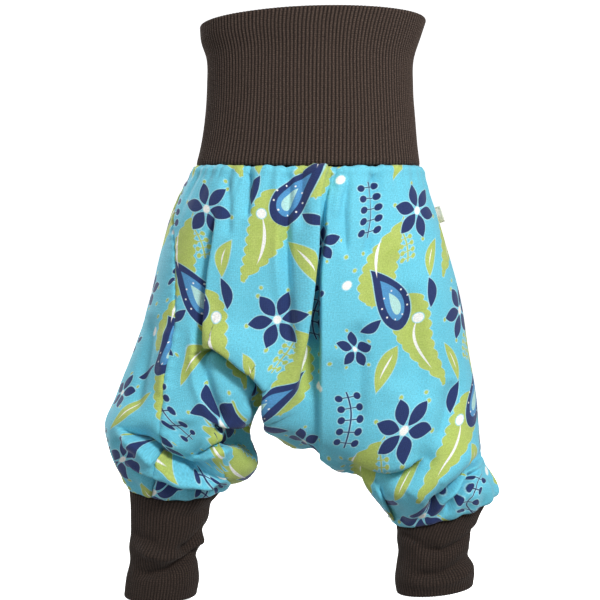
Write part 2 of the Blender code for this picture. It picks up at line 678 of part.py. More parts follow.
def make_waistband(finish, collection):
    levels = column(BAND_RINGS, BAND_COLUMNS, "level")
    middle = tube_middle(BAND_RINGS, levels, half_ring, spread_shares(2 * WAIST_RIBS), BAND_HEIGHTS)
    inner = tube_middle(BAND_RINGS, levels, half_ring, spread_shares(BAND_INNER_COLUMNS), BAND_INNER_HEIGHTS)
    make_ribbed_tube("waistband", middle, inner, (), finish, collection)


def make_cuff(name, rings, finish, collection):
    levels = column(rings, CUFF_COLUMNS, "z")
    middle = tube_middle(rings, levels, cuff_half_ring, spread_shares(2 * CUFF_RIBS), CUFF_HEIGHTS)
    inner = tube_middle(rings, levels, cuff_half_ring, spread_shares(CUFF_INNER_COLUMNS), CUFF_INNER_HEIGHTS)
    make_ribbed_tube(name, middle, inner, CUFF_FOLDS, finish, collection)


def make_label(finish, collection):
    """A small folded label that stands out of the left side seam, just clear of the front panel."""
    along = np.linspace(LABEL_TOP, LABEL_BOTTOM, LABEL_ROWS)
    share = panel_shares(along, FRONT_COLUMNS, -1)[:, -1] - LABEL_SHIFT
    normal = outward(share, along)
    lean = normal - (0.0, LABEL_FORWARD, 0.0)
    lean /= np.linalg.norm(lean, axis=1)[:, None]
    start = body_surface(share, along) + normal * (JERSEY_WALL / 2 + LABEL_WALL / 2 + LABEL_CLEARANCE)
    steps = np.linspace(0.0, LABEL_REACH, LABEL_COLUMNS)
    grid = np.stack([start + lean * step for step in steps], axis=1)
    faces = grid_faces(LABEL_ROWS, LABEL_COLUMNS)
    made = add_object("side_label", grid.reshape(-1, 3), faces, finish, collection)
    add_wall(made, LABEL_WALL)


def clear_scene():
    for thing in list(bpy.data.objects):
        bpy.data.objects.remove(thing, do_unlink=True)


def main():
    clear_scene()
    pants = bpy.data.collections.new("harem_pants")
    bpy.context.scene.collection.children.link(pants)
    jersey = material("printed cotton jersey", JERSEY_COLOUR, 0.85)
    band_rib = material("brown cotton rib knit", RIB_COLOUR, 0.9)
    cuff_rib = material("brown cuff rib knit", CUFF_COLOUR, 0.9)
    tape = material("white woven tape", LABEL_COLOUR, 0.7)
    make_waistband(band_rib, pants)
    make_panel("front", FRONT_COLUMNS, -1, jersey, pants)
    make_panel("back", BACK_COLUMNS, 1, jersey, pants)
    make_cuff("cuff_right", RIGHT_CUFF_RINGS, cuff_rib, pants)
    make_cuff("cuff_left", LEFT_CUFF_RINGS, cuff_rib, pants)
    make_label(tape, pants)


main()
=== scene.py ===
import bpy
import numpy as np
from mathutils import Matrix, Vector


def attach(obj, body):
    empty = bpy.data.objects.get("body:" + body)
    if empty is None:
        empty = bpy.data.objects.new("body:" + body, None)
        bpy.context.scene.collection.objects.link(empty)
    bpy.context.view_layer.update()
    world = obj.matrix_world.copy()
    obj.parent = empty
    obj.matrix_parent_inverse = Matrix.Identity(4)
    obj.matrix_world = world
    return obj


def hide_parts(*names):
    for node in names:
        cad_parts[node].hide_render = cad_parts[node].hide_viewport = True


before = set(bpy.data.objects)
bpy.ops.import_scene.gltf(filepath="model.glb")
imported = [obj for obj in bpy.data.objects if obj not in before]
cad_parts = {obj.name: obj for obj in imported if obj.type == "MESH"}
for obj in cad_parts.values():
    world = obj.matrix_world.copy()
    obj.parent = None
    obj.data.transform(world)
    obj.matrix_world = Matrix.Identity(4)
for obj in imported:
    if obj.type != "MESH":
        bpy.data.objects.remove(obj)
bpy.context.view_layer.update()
mm = 0.001
print("frame loaded")

# Rings run from the wearer's right side (share 0) round the front to the left side (1) and round the back (2).
ringSamples = 181
cuffShare = 0.36  # share of each half ring that goes round a cuff
waistLevel = -60.5
waistRing = (waistLevel, -4, -1, 0, -1.6, 85.6, 63, 64)

body = {
    # along, level, front up, back up, tilt, middle, half width, front, back
    "rings": (
        (0, *waistRing), (0.1, -86, -2, -2, 0, -4.4, 98.6, 69, 72), (0.24, -125, 3, 0, 0, -4.4, 110.8, 71, 78),
        (0.38, -164, 11, 5, 0, -3.8, 120.6, 71, 80), (0.53, -203, 20, 14, 0, -7, 129.8, 69, 76),
        (0.66, -235, 28, 24, 0, -10.4, 138.8, 66, 70),
    ),
    "ringPower": 0.92,  # the rings are a little fuller than an oval, whose power is 1
    "fullestAlong": 0.86,
    # share, x, z, front, back
    "fullest": (
        (0, -158.5, -270, 0, 0), (0.09, -148, -274, 33, 34), (0.19, -116, -281, 52, 54), (0.3, -82, -287, 50, 53),
        (0.37, -64, -286, 43, 46), (0.43, -57, -264, 43, 46), (0.47, -38, -240, 46, 50), (0.51, -22, -256, 43, 46),
        (0.55, -6, -266, 41, 43), (0.59, 15, -274, 41, 43), (0.64, 48, -294, 44, 46), (0.7, 74, -311, 49, 50),
        (0.8, 104, -303, 52, 54), (0.91, 127, -291, 34, 36), (1, 133.5, -284, 0, 0),
    ),
    # x, z, x, z ... of the inseam between the cuffs
    "inseam": (-50, -302.5, -41.5, -290, -47.5, -266, -37.4, -243.5, -31.5, -262,
               -14, -277.5, 7, -279.5, 19, -295, 40, -300.5, 52, -318),
    # along, right seam's share, left seam's share
    "sideSeams": (
        (0, 0.01, 1.012), (0.1, 0.05, 1.012), (0.24, 0.13, 1.014), (0.38, 0.165, 1.016),
        (0.53, 0.195, 1.018), (0.66, 0.205, 1.018), (0.86, 0.19, 1.016), (1, 0.12, 1.012),
    ),
    "waistFlare": 190,  # how the cloth leaves the waist seam
    "waistFall": 160,
    "tuckInwards": 0.75,  # how it tucks in to the cuffs
    "tuckDown": 0.55,
    "tuckReach": 1.5,
}

# level, front up, back up, tilt, middle, half width, front, back
bandRings = (
    waistRing, (-47, -3, -1, 0, -0.8, 83, 61.5, 62.5), (-24, -1.5, 0, 0, 0, 80.2, 60, 60.5),
    (2, 0, 0, 0, 0, 78.5, 59.5, 59.5), (25, 1, 0, 0.5, 0.2, 79.2, 60, 60), (40, 2, 0, 2, 0.8, 84, 62.5, 62.5),
    (50.2, 1.2, 0, 2.8, 2.2, 86.2, 64, 64),
)

# x, z, half width, half depth, tilt, front up
rightCuffRings = (
    (-104, -307, 35.6, 27, 0, -9), (-107.6, -320.5, 30.8, 26, 0.5, -7), (-109.4, -338, 28.8, 25.5, 1, -4),
    (-111.8, -353, 27.2, 25, 0.5, -2), (-113.8, -367, 24.9, 25.5, 0, -1), (-114.8, -380, 26.8, 25, -0.5, -1),
    (-116.6, -392.5, 26.6, 24.5, 0.5, -1),
)
leftCuffRings = (
    (104, -326.8, 35.2, 27, 12, -4), (100.6, -336, 31.2, 26, 8.5, -3), (98, -346, 28.8, 25.5, 5, -2),
    (96.8, -358.5, 26.8, 25.5, 3, -1), (96.4, -369, 27.6, 25, 3, -1), (97, -379, 29.2, 24.5, 3, -1),
    (97.2, -387.5, 28.2, 24, 3, -1),
)

# Large folds. side (-1 front, 1 back), height, width of half the fold, path as x, z, x, z ... down its length
largeFolds = (
    (-1, 4.5, 8, (5, -72, 0, -92, -2, -118, -5, -158, -10, -192, -15, -218, -19, -240)),
    (-1, 2, 9, (31, -80, 27, -118, 24, -165, 22, -205)),
    (-1, 5, 11, (-66, -188, -45, -198, -33, -216, -25, -236, -22, -254)),
    (-1, 1.8, 9, (-62, -90, -58, -130, -60, -170)), (-1, -3, 10, (62, -140, 66, -175, 66, -219)),
    (-1, 2, 13, (88, -150, 90, -200, 86, -240)),
    (-1, -5, 7, (-124, -264, -113, -272, -104, -281, -91, -287, -77, -290)),
    (-1, 3.5, 6.5, (-136, -274, -119, -283, -98, -293, -70, -298)), (-1, -5, 8, (-66, -256, -56, -265, -47, -274)),
    (-1, -6, 8, (34, -291, 56, -297, 71, -294, 82, -287, 87, -283)),
    (-1, 2.5, 8, (60, -309, 80, -309, 100, -300, 118, -284)),
    (-1, -3, 6.5, (131, -294, 120, -304, 108, -315, 94, -325)), (-1, -2.5, 9, (100, -240, 96, -262, 84, -280)),
    (1, -6, 8, (-4, -66, -6, -100, -3, -140, -6, -185, -8, -225, -5, -262)),
    (1, 3, 11, (14, -80, 14, -120, 12, -170, 8, -215)), (1, 2.5, 11, (-26, -82, -28, -125, -29, -175, -30, -220)),
    (1, -3.5, 10, (52, -86, 57, -125, 55, -170, 48, -205)), (1, 2.5, 12, (82, -110, 86, -160, 80, -210)),
    (1, -3.5, 10, (-60, -80, -66, -120, -70, -165, -66, -200)), (1, 2, 12, (-92, -120, -100, -170, -98, -215)),
    (1, -5, 10, (-90, -200, -66, -215, -52, -232, -45, -250)), (1, -4, 10, (84, -205, 62, -222, 42, -243, 26, -268)),
    (1, -5, 8.5, (-128, -268, -110, -276, -92, -288, -76, -289)), (1, 3, 8.5, (-132, -280, -108, -292, -82, -301)),
    (1, -5, 8.5, (46, -292, 66, -300, 86, -294, 102, -284)), (1, 3, 8.5, (64, -312, 90, -312, 116, -300)),
)

# The pleat down the middle of the front: a recess between two folded edges, each of which hangs over it.
pleat = {
    # z, x of the two edges, depth, softness of the first edge, its height and lean, the second's height and lean
    "rows": (
        (-58, 13.5, 15.5, 1, 0.6, 1.6, 1.2, 0.4, 0), (-68, 12.2, 16, 2.6, 0.6, 2.4, 2.2, -0.6, 0),
        (-78.7, 10.5, 15, 3.6, 0.6, 3.2, 3, -1, 0), (-90, 8.4, 12.4, 5.2, 0.5, 3.8, 3.6, -1, 0),
        (-103, 7.6, 11, 8, 0.4, 4, 3.8, -0.5, 0.3), (-114, 7.3, 11.2, 13, 0.4, 4, 3.8, 0.2, 0.8),
        (-125.6, 7, 9.8, 15, 0.4, 3.8, 3.8, 0.8, 1.2), (-133, 6.5, 8.3, 16, 0.4, 3.6, 3.8, 1.2, 1.4),
        (-142, 5.3, 7.3, 20, 0.4, 3.6, 3.8, 1.6, 1.6), (-156.5, 3.8, 6.9, 25, 0.4, 3.6, 3.8, 2, 2),
        (-178.5, 1, 6.9, 28, 0.4, 3.4, 3.8, 2.4, 2.4), (-191, -0.9, 6.9, 24, 0.4, 3.4, 3.6, 2.4, 2.4),
        (-202, -3.4, 6.9, 18, 0.4, 3.2, 3.2, 2.4, 2), (-209, -5.1, 6.9, 14, 0.5, 3, 2.8, 2.2, 1.6),
        (-222.5, -7.4, 6.9, 10, 0.6, 2.6, 2.2, 2, 1), (-231, -7.8, 6.9, 8, 1.2, 1.8, 1.4, 1.8, 0.6),
        (-240, -6.6, 6.9, 5.6, 3, 0.6, 0.4, 1.6, 0.4), (-255, -4, 7, 4.6, 4, 0, 0, 1.4, 0.2),
        (-272, -2, 7.2, 3.6, 4, 0, 0, 1, 0), (-290, -2, 7.4, 2, 4, 0, 0, 0.4, 0),
    ),
    "edge": 0.3,  # softness of the second edge
    "firstReach": 7.5,
    "secondReach": 7,
    "start": 4,  # it fades in over this much below the waist seam
}

# Other places where the cloth folds over itself. Along the path, as seen from the front, the cloth on the right hand
# lies over that on the left, and its edge is the path. side, height and reach of the upper cloth, depth and reach of
# the lower, how far the upper one hangs over, path
flaps = (
    # the bag's lower edge, which hangs over the right leg
    (-1, 4.8, 12, 12, 9, 6.4, (-31, -272, -31.4, -251, -34.9, -235.2, -37.3, -229, -41, -224, -44.7, -219.4,
     -50.2, -216, -55.8, -211.8, -62.6, -206.4, -70.5, -201, -78, -200.5, -90, -205)),
    # the roll above the right cuff, and its lower edge
    (-1, 5, 5.5, 11, 8, 3.4, (-147, -258, -138, -265, -128.5, -268.6, -120.6, -274, -114.6, -281.6, -107.1, -287.5,
     -97.2, -292, -86, -295.5, -74.9, -297.6, -66, -299)),
    (-1, 3.4, 4.5, 7, 4.5, 2.8, (-66, -302, -72, -304, -78.6, -305.6, -88.3, -305.4, -97.2, -303.4, -108.4, -299.8,
     -119.6, -297, -130.7, -292.6, -139, -287)),
    # the bulge at the inside of the right knee, and the fold that comes up under it
    (-1, 3.4, 8, 6.5, 9, 2.6, (-42, -240, -43.6, -251.7, -47.3, -258.4, -52.5, -260.9, -60, -261.2, -67, -260,
     -74, -254)),
    (-1, 2.4, 8, 5, 6, 1.6, (-86, -288, -78.6, -281, -71.1, -275.8, -63.7, -273.8, -54, -274.2, -45, -273.6)),
    # the front's edge beside the right side seam
    (-1, 2.2, 7, 4, 9, 1.4, (-78, -212, -79.4, -197, -79.4, -178.6, -78.6, -163.8, -76.4, -141.7, -72.7, -119.5,
     -70, -96)),
    # the left leg: the fold above the knee, and the roll beside the cuff
    (-1, 2.6, 7, 6, 6, 2.4, (84, -281, 78.6, -285.2, 74.2, -289, 64.5, -293.4, 55.5, -295.7, 45, -295.6, 36, -291,
     24, -283)),
    (-1, 4, 5, 9, 8, 2.6, (88, -330, 94.3, -320.1, 100.2, -313.2, 107.7, -305.7, 118.9, -297, 127.8, -289.8,
     137, -281.5)),
    (-1, 2.6, 3, 7, 3.4, 1.8, (102, -328, 108.4, -319.7, 113.4, -313.2, 120.3, -305, 127.3, -298.3, 134, -292)),
    # the back
    (1, 4, 7, 5, 3, 3.4, (-9, -262, -13, -225, -10, -185, -7, -140, -10, -100, -7, -54)),
    (1, 3.6, 12, 8, 10, 4.4, (-92, -201, -69, -211, -55, -226, -47, -253)),
    (1, 3.4, 12, 7, 9, 3.6, (27, -272, 45, -246, 66, -222, 93, -203)),
    (1, 3, 6, 6, 6, 2.2, (-64, -298, -92, -292, -112, -281, -138, -264)),
    (1, 2.6, 6, 5.5, 6, 2.2, (40, -293, 64, -301, 86, -295, 112, -280)),
)

# Creases with one steep side. side, height, width on the left and on the right hand of someone who walks along the
# path as seen from the front, power (2 round, less is sharper), path; they fade at both ends
creases = (
    # the front
    (-1, 1.8, 2, 4, 2, (34, -60, 27, -74, 21, -88, 18, -106)),
    (-1, -2.4, 2.4, 2.4, 2, (20, -60, 19, -68, 16.5, -75, 15, -84)),
    (-1, -6, 3, 5.5, 2, (-16.5, -62, -15.2, -83, -17.4, -112, -16.7, -134, -15.2, -164, -14.4, -192, -15, -215)),
    (-1, 2.4, 3.5, 3.5, 1.5, (-24, -64, -23, -95, -25, -130, -24, -160)),
    (-1, -4.2, 2, 3.6, 2, (-46, -60, -44.7, -75.7, -45.4, -90, -47, -106)),
    (-1, -3, 2.6, 5, 2, (-5, -58, -7, -86, -5, -116)), (-1, -2.6, 3, 4, 2, (-62, -70, -60, -92, -60, -120)),
    (-1, -2, 4, 4, 2, (-30, -150, -24, -180, -22, -210, -26, -236)),
    (-1, -4, 2.6, 5, 2, (28, -60, 27, -78, 25, -100, 26, -134)),
    (-1, -4.2, 5, 3, 2, (46, -60, 47, -78, 46.5, -100, 42, -122, 40, -140)),
    (-1, -4.6, 6, 10, 2, (34, -176, 37, -205, 36, -240, 33, -262)),
    (-1, -4.6, 7, 10, 2, (72, -150, 78, -190, 82, -225, 84, -250)), (-1, 2.2, 9, 6, 2, (56, -160, 60, -200, 58, -245)),
    # the right leg
    (-1, -5, 6, 6, 2, (-121, -172, -123, -195, -127, -216, -131, -236, -134, -252)),
    (-1, 3.4, 6, 5, 2, (-106, -180, -108, -210, -110, -240)),
    (-1, -6, 4.5, 4.5, 2, (-81, -178, -80, -200, -78, -220, -73, -236, -66, -250, -54, -257)),
    (-1, 2.4, 4, 4, 1.6, (-88, -176, -87.5, -205, -86, -226, -80, -242, -72, -254)),
    (-1, -6, 12, 10, 2, (-100, -252, -98, -264, -92, -276, -80, -284)),
    (-1, -4, 3, 5, 2, (-148, -268, -140, -276, -130, -282)), (-1, -3.6, 5, 4, 2, (-120, -284, -112, -288, -104, -289)),
    (-1, -3.2, 2.6, 2.6, 2, (-126, -300, -110, -305, -96, -310)),
    # the left leg
    (-1, -3.4, 5, 5, 2, (108, -222, 104, -248, 96, -270)), (-1, -2, 2.8, 6, 2, (66, -305, 78, -314, 85, -326)),
    (-1, -2.2, 2.4, 3, 2, (98, -298, 94, -308, 90, -320)), (-1, -2.6, 2, 2, 2, (136, -296, 129, -302, 121, -311)),
    # the back
    (1, -3.4, 4, 2.6, 2, (54, -72, 58, -125, 55, -170, 47, -208)),
    (1, -3.4, 2.6, 4, 2, (-60, -68, -66, -120, -70, -165, -66, -200)),
    (1, -3.6, 2.2, 2.6, 2, (-128, -290, -106, -299, -82, -304)),
    (1, -3.4, 2.4, 2.4, 2, (64, -320, 92, -318, 122, -303)),
    (1, -2.6, 4, 4, 2, (20, -140, 24, -185, 20, -222, 12, -246)), (1, -2.6, 4, 3, 2, (100, -160, 104, -214, 98, -250)),
    (1, -2.6, 3, 4, 2, (-112, -150, -118, -208, -112, -244)), (1, -2.4, 4, 4, 2, (-34, -110, -38, -160, -34, -204)),
    (1, -2.6, 4, 4, 2, (84, -254, 96, -268, 112, -274)), (1, -2.4, 3, 3, 2, (-84, -246, -76, -258, -64, -268)),
)

# Gathers below the waist seam, large and small. share, depth, width of half the gather, reach
gathers = (
    (0.06, 1.6, 3.6, 26), (0.125, 2.2, 3.8, 34), (0.19, 1.5, 3.4, 22), (0.262, 1.9, 3.6, 30), (0.33, 2.6, 4, 40),
    (0.395, 1.6, 3.4, 24), (0.442, 2.4, 3.8, 34), (0.5, 1.6, 3.4, 26), (0.585, 2.8, 3.8, 22), (0.632, 2.4, 3.4, 20),
    (0.7, 2.8, 4.2, 46), (0.775, 1.8, 3.6, 30), (0.85, 1.6, 3.6, 28), (0.93, 2.2, 3.8, 30), (1.042, 2.7, 6, 34),
    (1.138, 2.6, 6, 33), (1.19, 1.6, 5.5, 20), (1.305, 1.4, 5.5, 19), (1.372, 2.8, 6, 38), (1.448, 2.9, 6, 38),
    (1.558, 1.5, 5.5, 20), (1.608, 1.3, 5.5, 16), (1.715, 2.6, 6, 33), (1.796, 2.7, 6, 36), (1.862, 1.8, 5.5, 22),
    (1.975, 1.4, 5.5, 18),
)
tightGathers = (
    (0.035, 1, 1.8, 16), (0.092, 0.9, 1.7, 12), (0.158, 1.1, 2, 18), (0.226, 0.9, 1.7, 13), (0.3, 1.5, 2, 24),
    (0.318, 0.9, 1.6, 12), (0.362, 0.9, 1.7, 12), (0.43, 1.4, 2, 26), (0.47, 0.8, 1.7, 11), (0.528, 1, 1.8, 14),
    (0.56, 1.3, 1.8, 16), (0.604, 1.5, 1.8, 14), (0.618, 1, 1.6, 10), (0.664, 1, 1.8, 14), (0.722, 1.5, 2.2, 30),
    (0.748, 0.9, 1.7, 12), (0.808, 1, 1.8, 16), (0.884, 0.9, 1.8, 13), (0.962, 1.2, 2, 20), (0.99, 0.9, 1.7, 12),
    (1.075, 1.1, 2.2, 16), (1.11, 0.9, 2, 12), (1.165, 1, 2, 18), (1.24, 1.2, 2.2, 14), (1.27, 0.9, 2, 12),
    (1.34, 1.1, 2, 20), (1.41, 1.3, 2.2, 26), (1.48, 1, 2, 14), (1.52, 1.2, 2, 20), (1.585, 0.9, 2, 12),
    (1.65, 1.2, 2.2, 18), (1.69, 0.9, 1.9, 12), (1.755, 1.1, 2, 20), (1.83, 1, 2, 14), (1.905, 1.2, 2.1, 18),
    (1.945, 0.9, 2, 12),
)

# Folds and creases of the cuffs and the waistband, in the same rows
cuffFolds = (
    (-1, -1.8, 6, (-76, -324, -84, -336, -96, -352)), (-1, 1.2, 6, (-80, -338, -92, -352, -112, -360, -134, -356)),
    (-1, -1.6, 6, (-84, -356, -100, -364, -112, -372)), (-1, -1.4, 6, (126, -352, 112, -360, 96, -366)),
    (-1, 1, 6, (120, -376, 100, -380, 76, -378)), (1, -1.5, 6, (-136, -346, -114, -356, -94, -352)),
    (1, -1.5, 6, (74, -356, 96, -362, 120, -354)),
)
cuffCreases = (
    (-1, -8, 4.5, 2.6, 2, (-66, -324, -76, -333, -84, -344, -92, -352, -106, -357)),
    (-1, 4.6, 2.6, 4, 2, (-70, -338, -82, -350, -94, -358, -110, -361.5, -122, -358.5, -134, -352)),
    (-1, -7, 3, 5, 2, (-78, -354, -88, -360, -99, -366.5, -110, -371, -126, -374, -136, -374)),
    (-1, -1.6, 3, 3, 2, (-136, -341, -128, -346, -114, -350)), (-1, -1.6, 4, 3, 2, (-72, -320, -88, -328, -104, -330)),
    (-1, -4.6, 4, 2.4, 2, (134, -337, 116, -349, 100, -355, 80, -354)),
    (-1, -4.6, 2.4, 4, 2, (134, -359, 114, -367, 98, -374, 76, -375)),
    (-1, 1.8, 3, 4, 2, (132, -367, 112, -377, 92, -381, 72, -380)),
    (-1, -1.8, 3, 3, 2, (68, -341, 84, -350, 102, -352)), (1, -2.8, 4, 2.4, 2, (-78, -338, -98, -354, -122, -358)),
    (1, -2.4, 2.4, 3, 2, (-82, -361, -108, -372, -134, -370)), (1, -2.8, 4, 2.4, 2, (70, -345, 94, -358, 120, -358)),
    (1, -2.4, 2.4, 3, 2, (74, -367, 98, -376, 124, -369)),
)
bandDents = (
    (-1, -0.8, 14, (-40, 46, -34, 20, -38, -10)), (-1, 0.7, 16, (-6, 40, 4, 10, 0, -30)),
    (-1, -0.7, 14, (44, 44, 50, 12, 46, -20)), (1, -0.8, 16, (30, 46, 24, 10, 30, -24)),
    (1, 0.7, 18, (-24, 40, -30, 6, -22, -34)),
)

jersey = {
    "thickness": 1.1,
    "columns": (98, 116, 78),  # faces across the right leg, the middle and the left leg
    "crowding": (0, 0.5, 0),  # how far they crowd towards the pleat
    "pleatAt": 0.6,
    "rows": 293,
    "rowPlaces": ((0, 0), (0.15, 0.1), (0.45, 0.5), (1, 1)),  # share of the rows, share of the way down
    "innerStep": 3,  # the wrong side has one face for this many
    "halfWaist": 237,  # length of half the waist seam
    "gatherStart": 3,  # gathers deepen over this much below the seam
    "tightStart": 1,
    "pathFade": 0.2,  # creases and flaps fade over this share of their path at each end
    "flapEdge": 0.42,  # softness of a flap's edge
    "crevice": 1.2,  # where cloth lies over cloth, the lower dives by this much more
    "creviceShare": 0.32,  # share of the lower cloth's reach that the crevice takes
    "creviceLeast": 2.3,
    "foldStart": 0.03,  # folds fade in over this much of the way down, and out over foldEnd
    "foldEnd": 0.025,
    "deepest": 0.5,
    "printCalm": 0.45,  # the print lies on the cloth as if its folds had this share of their height
    "printEven": 10,  # and as if each step were the mean of its neighbours within this reach
    "sideFade": 4,
    "puffHeight": 1.7,  # the cloth stands out below the waist seam and above the cuffs
    "puffAt": 5,
    "puffWidth": 3.6,
    "hemPuff": (1.2, 0.5),  # by this share at a cuff, and elsewhere along the hem
    "riseHeight": 0.7,  # it rises over the band's edge between its gathers
    "riseAt": 2.4,
    "riseWidth": 2.2,
    "riseWaves": (11, 1.7, 0.13),  # spacing, sway, how fast the sway turns
    "riseSwing": 0.4,
    "riseOut": 0.35,  # share of the rise by which it also stands out
    "seamDip": 1,  # it is pulled in at each seam
    "seamWidth": 1.5,
    "puckerHeight": 0.28,  # small waves along the side seams and the inseam
    "puckerReach": 6,
    "sideWaves": (8.5, 1.4, 0.11),
    "hemWaves": (8.5, 1.2, 0.09),
    "allowance": 1.8,  # cloth turned inwards at each edge
    "allowanceLean": 0.2,
    "cuffGathers": 13,
    "cuffGatherDepth": 1.3,
    "cuffGatherReach": 0.13,
    "cuffGatherSway": (1.3, 5),
    "cuffGatherStop": 0.15,
}

rib = {
    "wall": 2.8,
    "roundness": 1.1,
    "samples": 6,  # columns for each rib
    "crownRows": 7,
    "innerRows": 12,
    "wander": 0.1,  # how far a rib strays sideways, as a share of its pitch
    "strayLength": 17,  # mm in which the straying turns by 1
    "straySway": (2.2, 7),  # how far and over how many ribs it differs from rib to rib
    "innerShare": 0.6,  # height of the ribs inside, as a share of those outside
    "crownDip": 0.5,  # and by how much lower they are over the fold
    "seamDip": 0.9,
    "seamWidth": 1.8,
    # number of ribs, their height, rows of faces outside
    "band": (160, 0.85, 54),
    "cuff": (72, 0.5, 46),
}


# Vectors divided by their lengths.
def unit(vectors):
    return vectors / np.maximum(np.linalg.norm(vectors, axis=-1, keepdims=True), 1e-9)


# exp(-(distance / width)^power).
def bell(distance, width, power=2):
    return np.exp(-((distance / width) ** power))


# 1 / (1 + exp(x)), which steps from 1 down to 0; x is clipped so that its power stays finite.
def stepDown(x):
    return 1 / (1 + np.exp(np.clip(x, -30, 30)))


# sin(2 pi x / spacing + sway sin(turns x)): waves of uneven spacing.
def unevenWaves(x, spacing, sway, turns):
    return np.sin(2 * np.pi * x / spacing + sway * np.sin(turns * x))


# Distances between neighbours along the first axis.
def stepLengths(points):
    return np.linalg.norm(np.diff(points, axis=0), axis=-1)


# The sum of the steps before each place, from 0.
def runningTotal(steps):
    return np.concatenate([np.zeros((1, *steps.shape[1:])), np.cumsum(steps, axis=0)])


# Hermite cubics through values, one row for each knot. The slope at a knot is the mean of the rises on both sides,
# weighted by the other side's step. Every place reads the whole row, or, where the slopes at both ends are given, the
# curve of its own column.
def smooth(knots, values, at, ends=None):
    knots, values, at = [np.asarray(part, float) for part in (knots, values, at)]
    steps = np.diff(knots).reshape((-1,) + (1,) * (values.ndim - 1))
    rises = np.diff(values, axis=0) / steps
    inner = (rises[:-1] * steps[1:] + rises[1:] * steps[:-1]) / (steps[1:] + steps[:-1])
    start, end = ends or (rises[0], rises[-1])
    slopes = np.concatenate([start[None], inner, end[None]])
    span = np.clip(np.searchsorted(knots, at, side="right") - 1, 0, len(knots) - 2)
    width = knots[span + 1] - knots[span]
    t = (at - knots[span]) / width
    reads = ((values, span), (slopes, span), (values, span + 1), (slopes, span + 1))
    if ends:
        t, width = t[..., None], width[..., None]
        low, lowSlope, high, highSlope = [np.take_along_axis(row, which[None, ..., None], 0)[0] for row, which in reads]
    else:
        t, width = [part.reshape((-1,) + (1,) * (values.ndim - 1)) for part in (t, width)]
        low, lowSlope, high, highSlope = [row[which] for row, which in reads]
    return (
        (2 * t**3 - 3 * t**2 + 1) * low
        + (t**3 - 2 * t**2 + t) * width * lowSlope
        + (3 * t**2 - 2 * t**3) * high
        + (t**3 - t**2) * width * highSlope
    )


# A line of points replaced by as many as asked, evenly spaced along its length.
def spreadEvenly(points, count):
    length = runningTotal(stepLengths(points))
    at = np.linspace(0, length[-1], count)
    return np.stack([np.interp(at, length, axis) for axis in points.T], axis=1)


# Half an oval round the body: x = middle - halfWidth cos, y = +-depth sin^power, z = level + up sin^2 - tilt cos.
def halfRing(ring, side):
    level, frontUp, backUp, tilt, middle, halfWidth, front, back = ring
    depth, up = (front, frontUp) if side < 0 else (back, backUp)
    turn = np.linspace(0, np.pi, ringSamples)
    x = middle - halfWidth * np.cos(turn)
    y = side * depth * np.sin(turn) ** body["ringPower"]
    z = level + up * np.sin(turn) ** 2 - tilt * np.cos(turn)
    return spreadEvenly(np.stack([x, y, z], axis=1), ringSamples)


# Half an oval round a cuff, tipped sideways by tilt and forwards by frontUp.
def cuffHalfRing(ring, side):
    x, z, halfWidth, halfDepth, tilt, frontUp = ring
    turn = np.linspace(0, np.pi, ringSamples)
    across, deep = -np.cos(turn), side * np.sin(turn)
    points = [x + halfWidth * across, halfDepth * deep, z + tilt * across - frontUp * deep]
    return spreadEvenly(np.stack(points, axis=1), ringSamples)


# A front half and a back half joined into one row round the body, with shares 0 to 1 and 1 to 2 by point.
def closedRow(front, back):
    points = np.concatenate([front, back[::-1][1:]])
    return np.concatenate([np.linspace(0, 1, len(front)), np.linspace(1, 2, len(back))[1:]]), points


# Points of a row at the given shares, each axis read linearly between its neighbours.
def readRow(row, share):
    shares, points = row
    return np.stack([np.interp(np.mod(share, 2), shares, axis) for axis in points.T], axis=-1)


# The row round the fullest part: x, z, -front and +back are smooth curves through the table, by share.
def fullestRow():
    knots, *columns = np.array(body["fullest"]).T
    at = np.linspace(0, 1, ringSamples)
    x, z, front, back = [smooth(knots, column, at) for column in columns]
    return closedRow(np.stack([x, -front, z], axis=1), np.stack([x, back, z], axis=1))


# The inseam runs from the inner side of one cuff to that of the other.
def inseamLine():
    first, last = cuffHalfRing(rightCuffRings[0], -1)[-1], cuffHalfRing(leftCuffRings[0], -1)[0]
    points = np.array([first, *[(x, 0, z) for x, z in np.reshape(body["inseam"], (-1, 2))], last])
    dense = smooth(np.arange(len(points)), points, np.linspace(0, len(points) - 1, ringSamples))
    return spreadEvenly(dense, ringSamples)


# The lower edge of the body and the direction in which the cloth arrives there: half a cuff, the inseam, half a cuff.
def bottomRows():
    edges, arrivals = [], []
    roundCuff = round(cuffShare * (ringSamples - 1)) + 1
    middle = spreadEvenly(inseamLine(), ringSamples - 2 * (roundCuff - 1))
    for side in (-1, 1):
        right = spreadEvenly(cuffHalfRing(rightCuffRings[0], side), roundCuff)
        left = spreadEvenly(cuffHalfRing(leftCuffRings[0], side), roundCuff)
        edge = np.concatenate([right[:-1], middle, left[1:]])
        arrival = np.zeros_like(edge)
        arrival[roundCuff - 1 : 1 - roundCuff] = (0, -side, 0)
        cuffs = ((right, rightCuffRings, slice(roundCuff)), (left, leftCuffRings, slice(-roundCuff, None)))
        for ring, rings, part in cuffs:
            top, below = [np.array([x, 0, z]) for x, z, *_ in rings[:2]]
            down = unit(below - top)
            inwards = top - ring
            inwards -= np.outer(inwards @ down, down)
            arrival[part] += body["tuckInwards"] * unit(inwards) + body["tuckDown"] * down
        edges.append(edge)
        arrivals.append(unit(arrival))
    return closedRow(*edges), closedRow(*arrivals)


bodyRows = [closedRow(halfRing(ring, -1), halfRing(ring, 1)) for _, *ring in body["rings"]]
edgeRow, arrivalRow = bottomRows()
bodyRows += [fullestRow(), edgeRow]
bodyKnots = np.array([along for along, *_ in body["rings"]] + [body["fullestAlong"], 1])


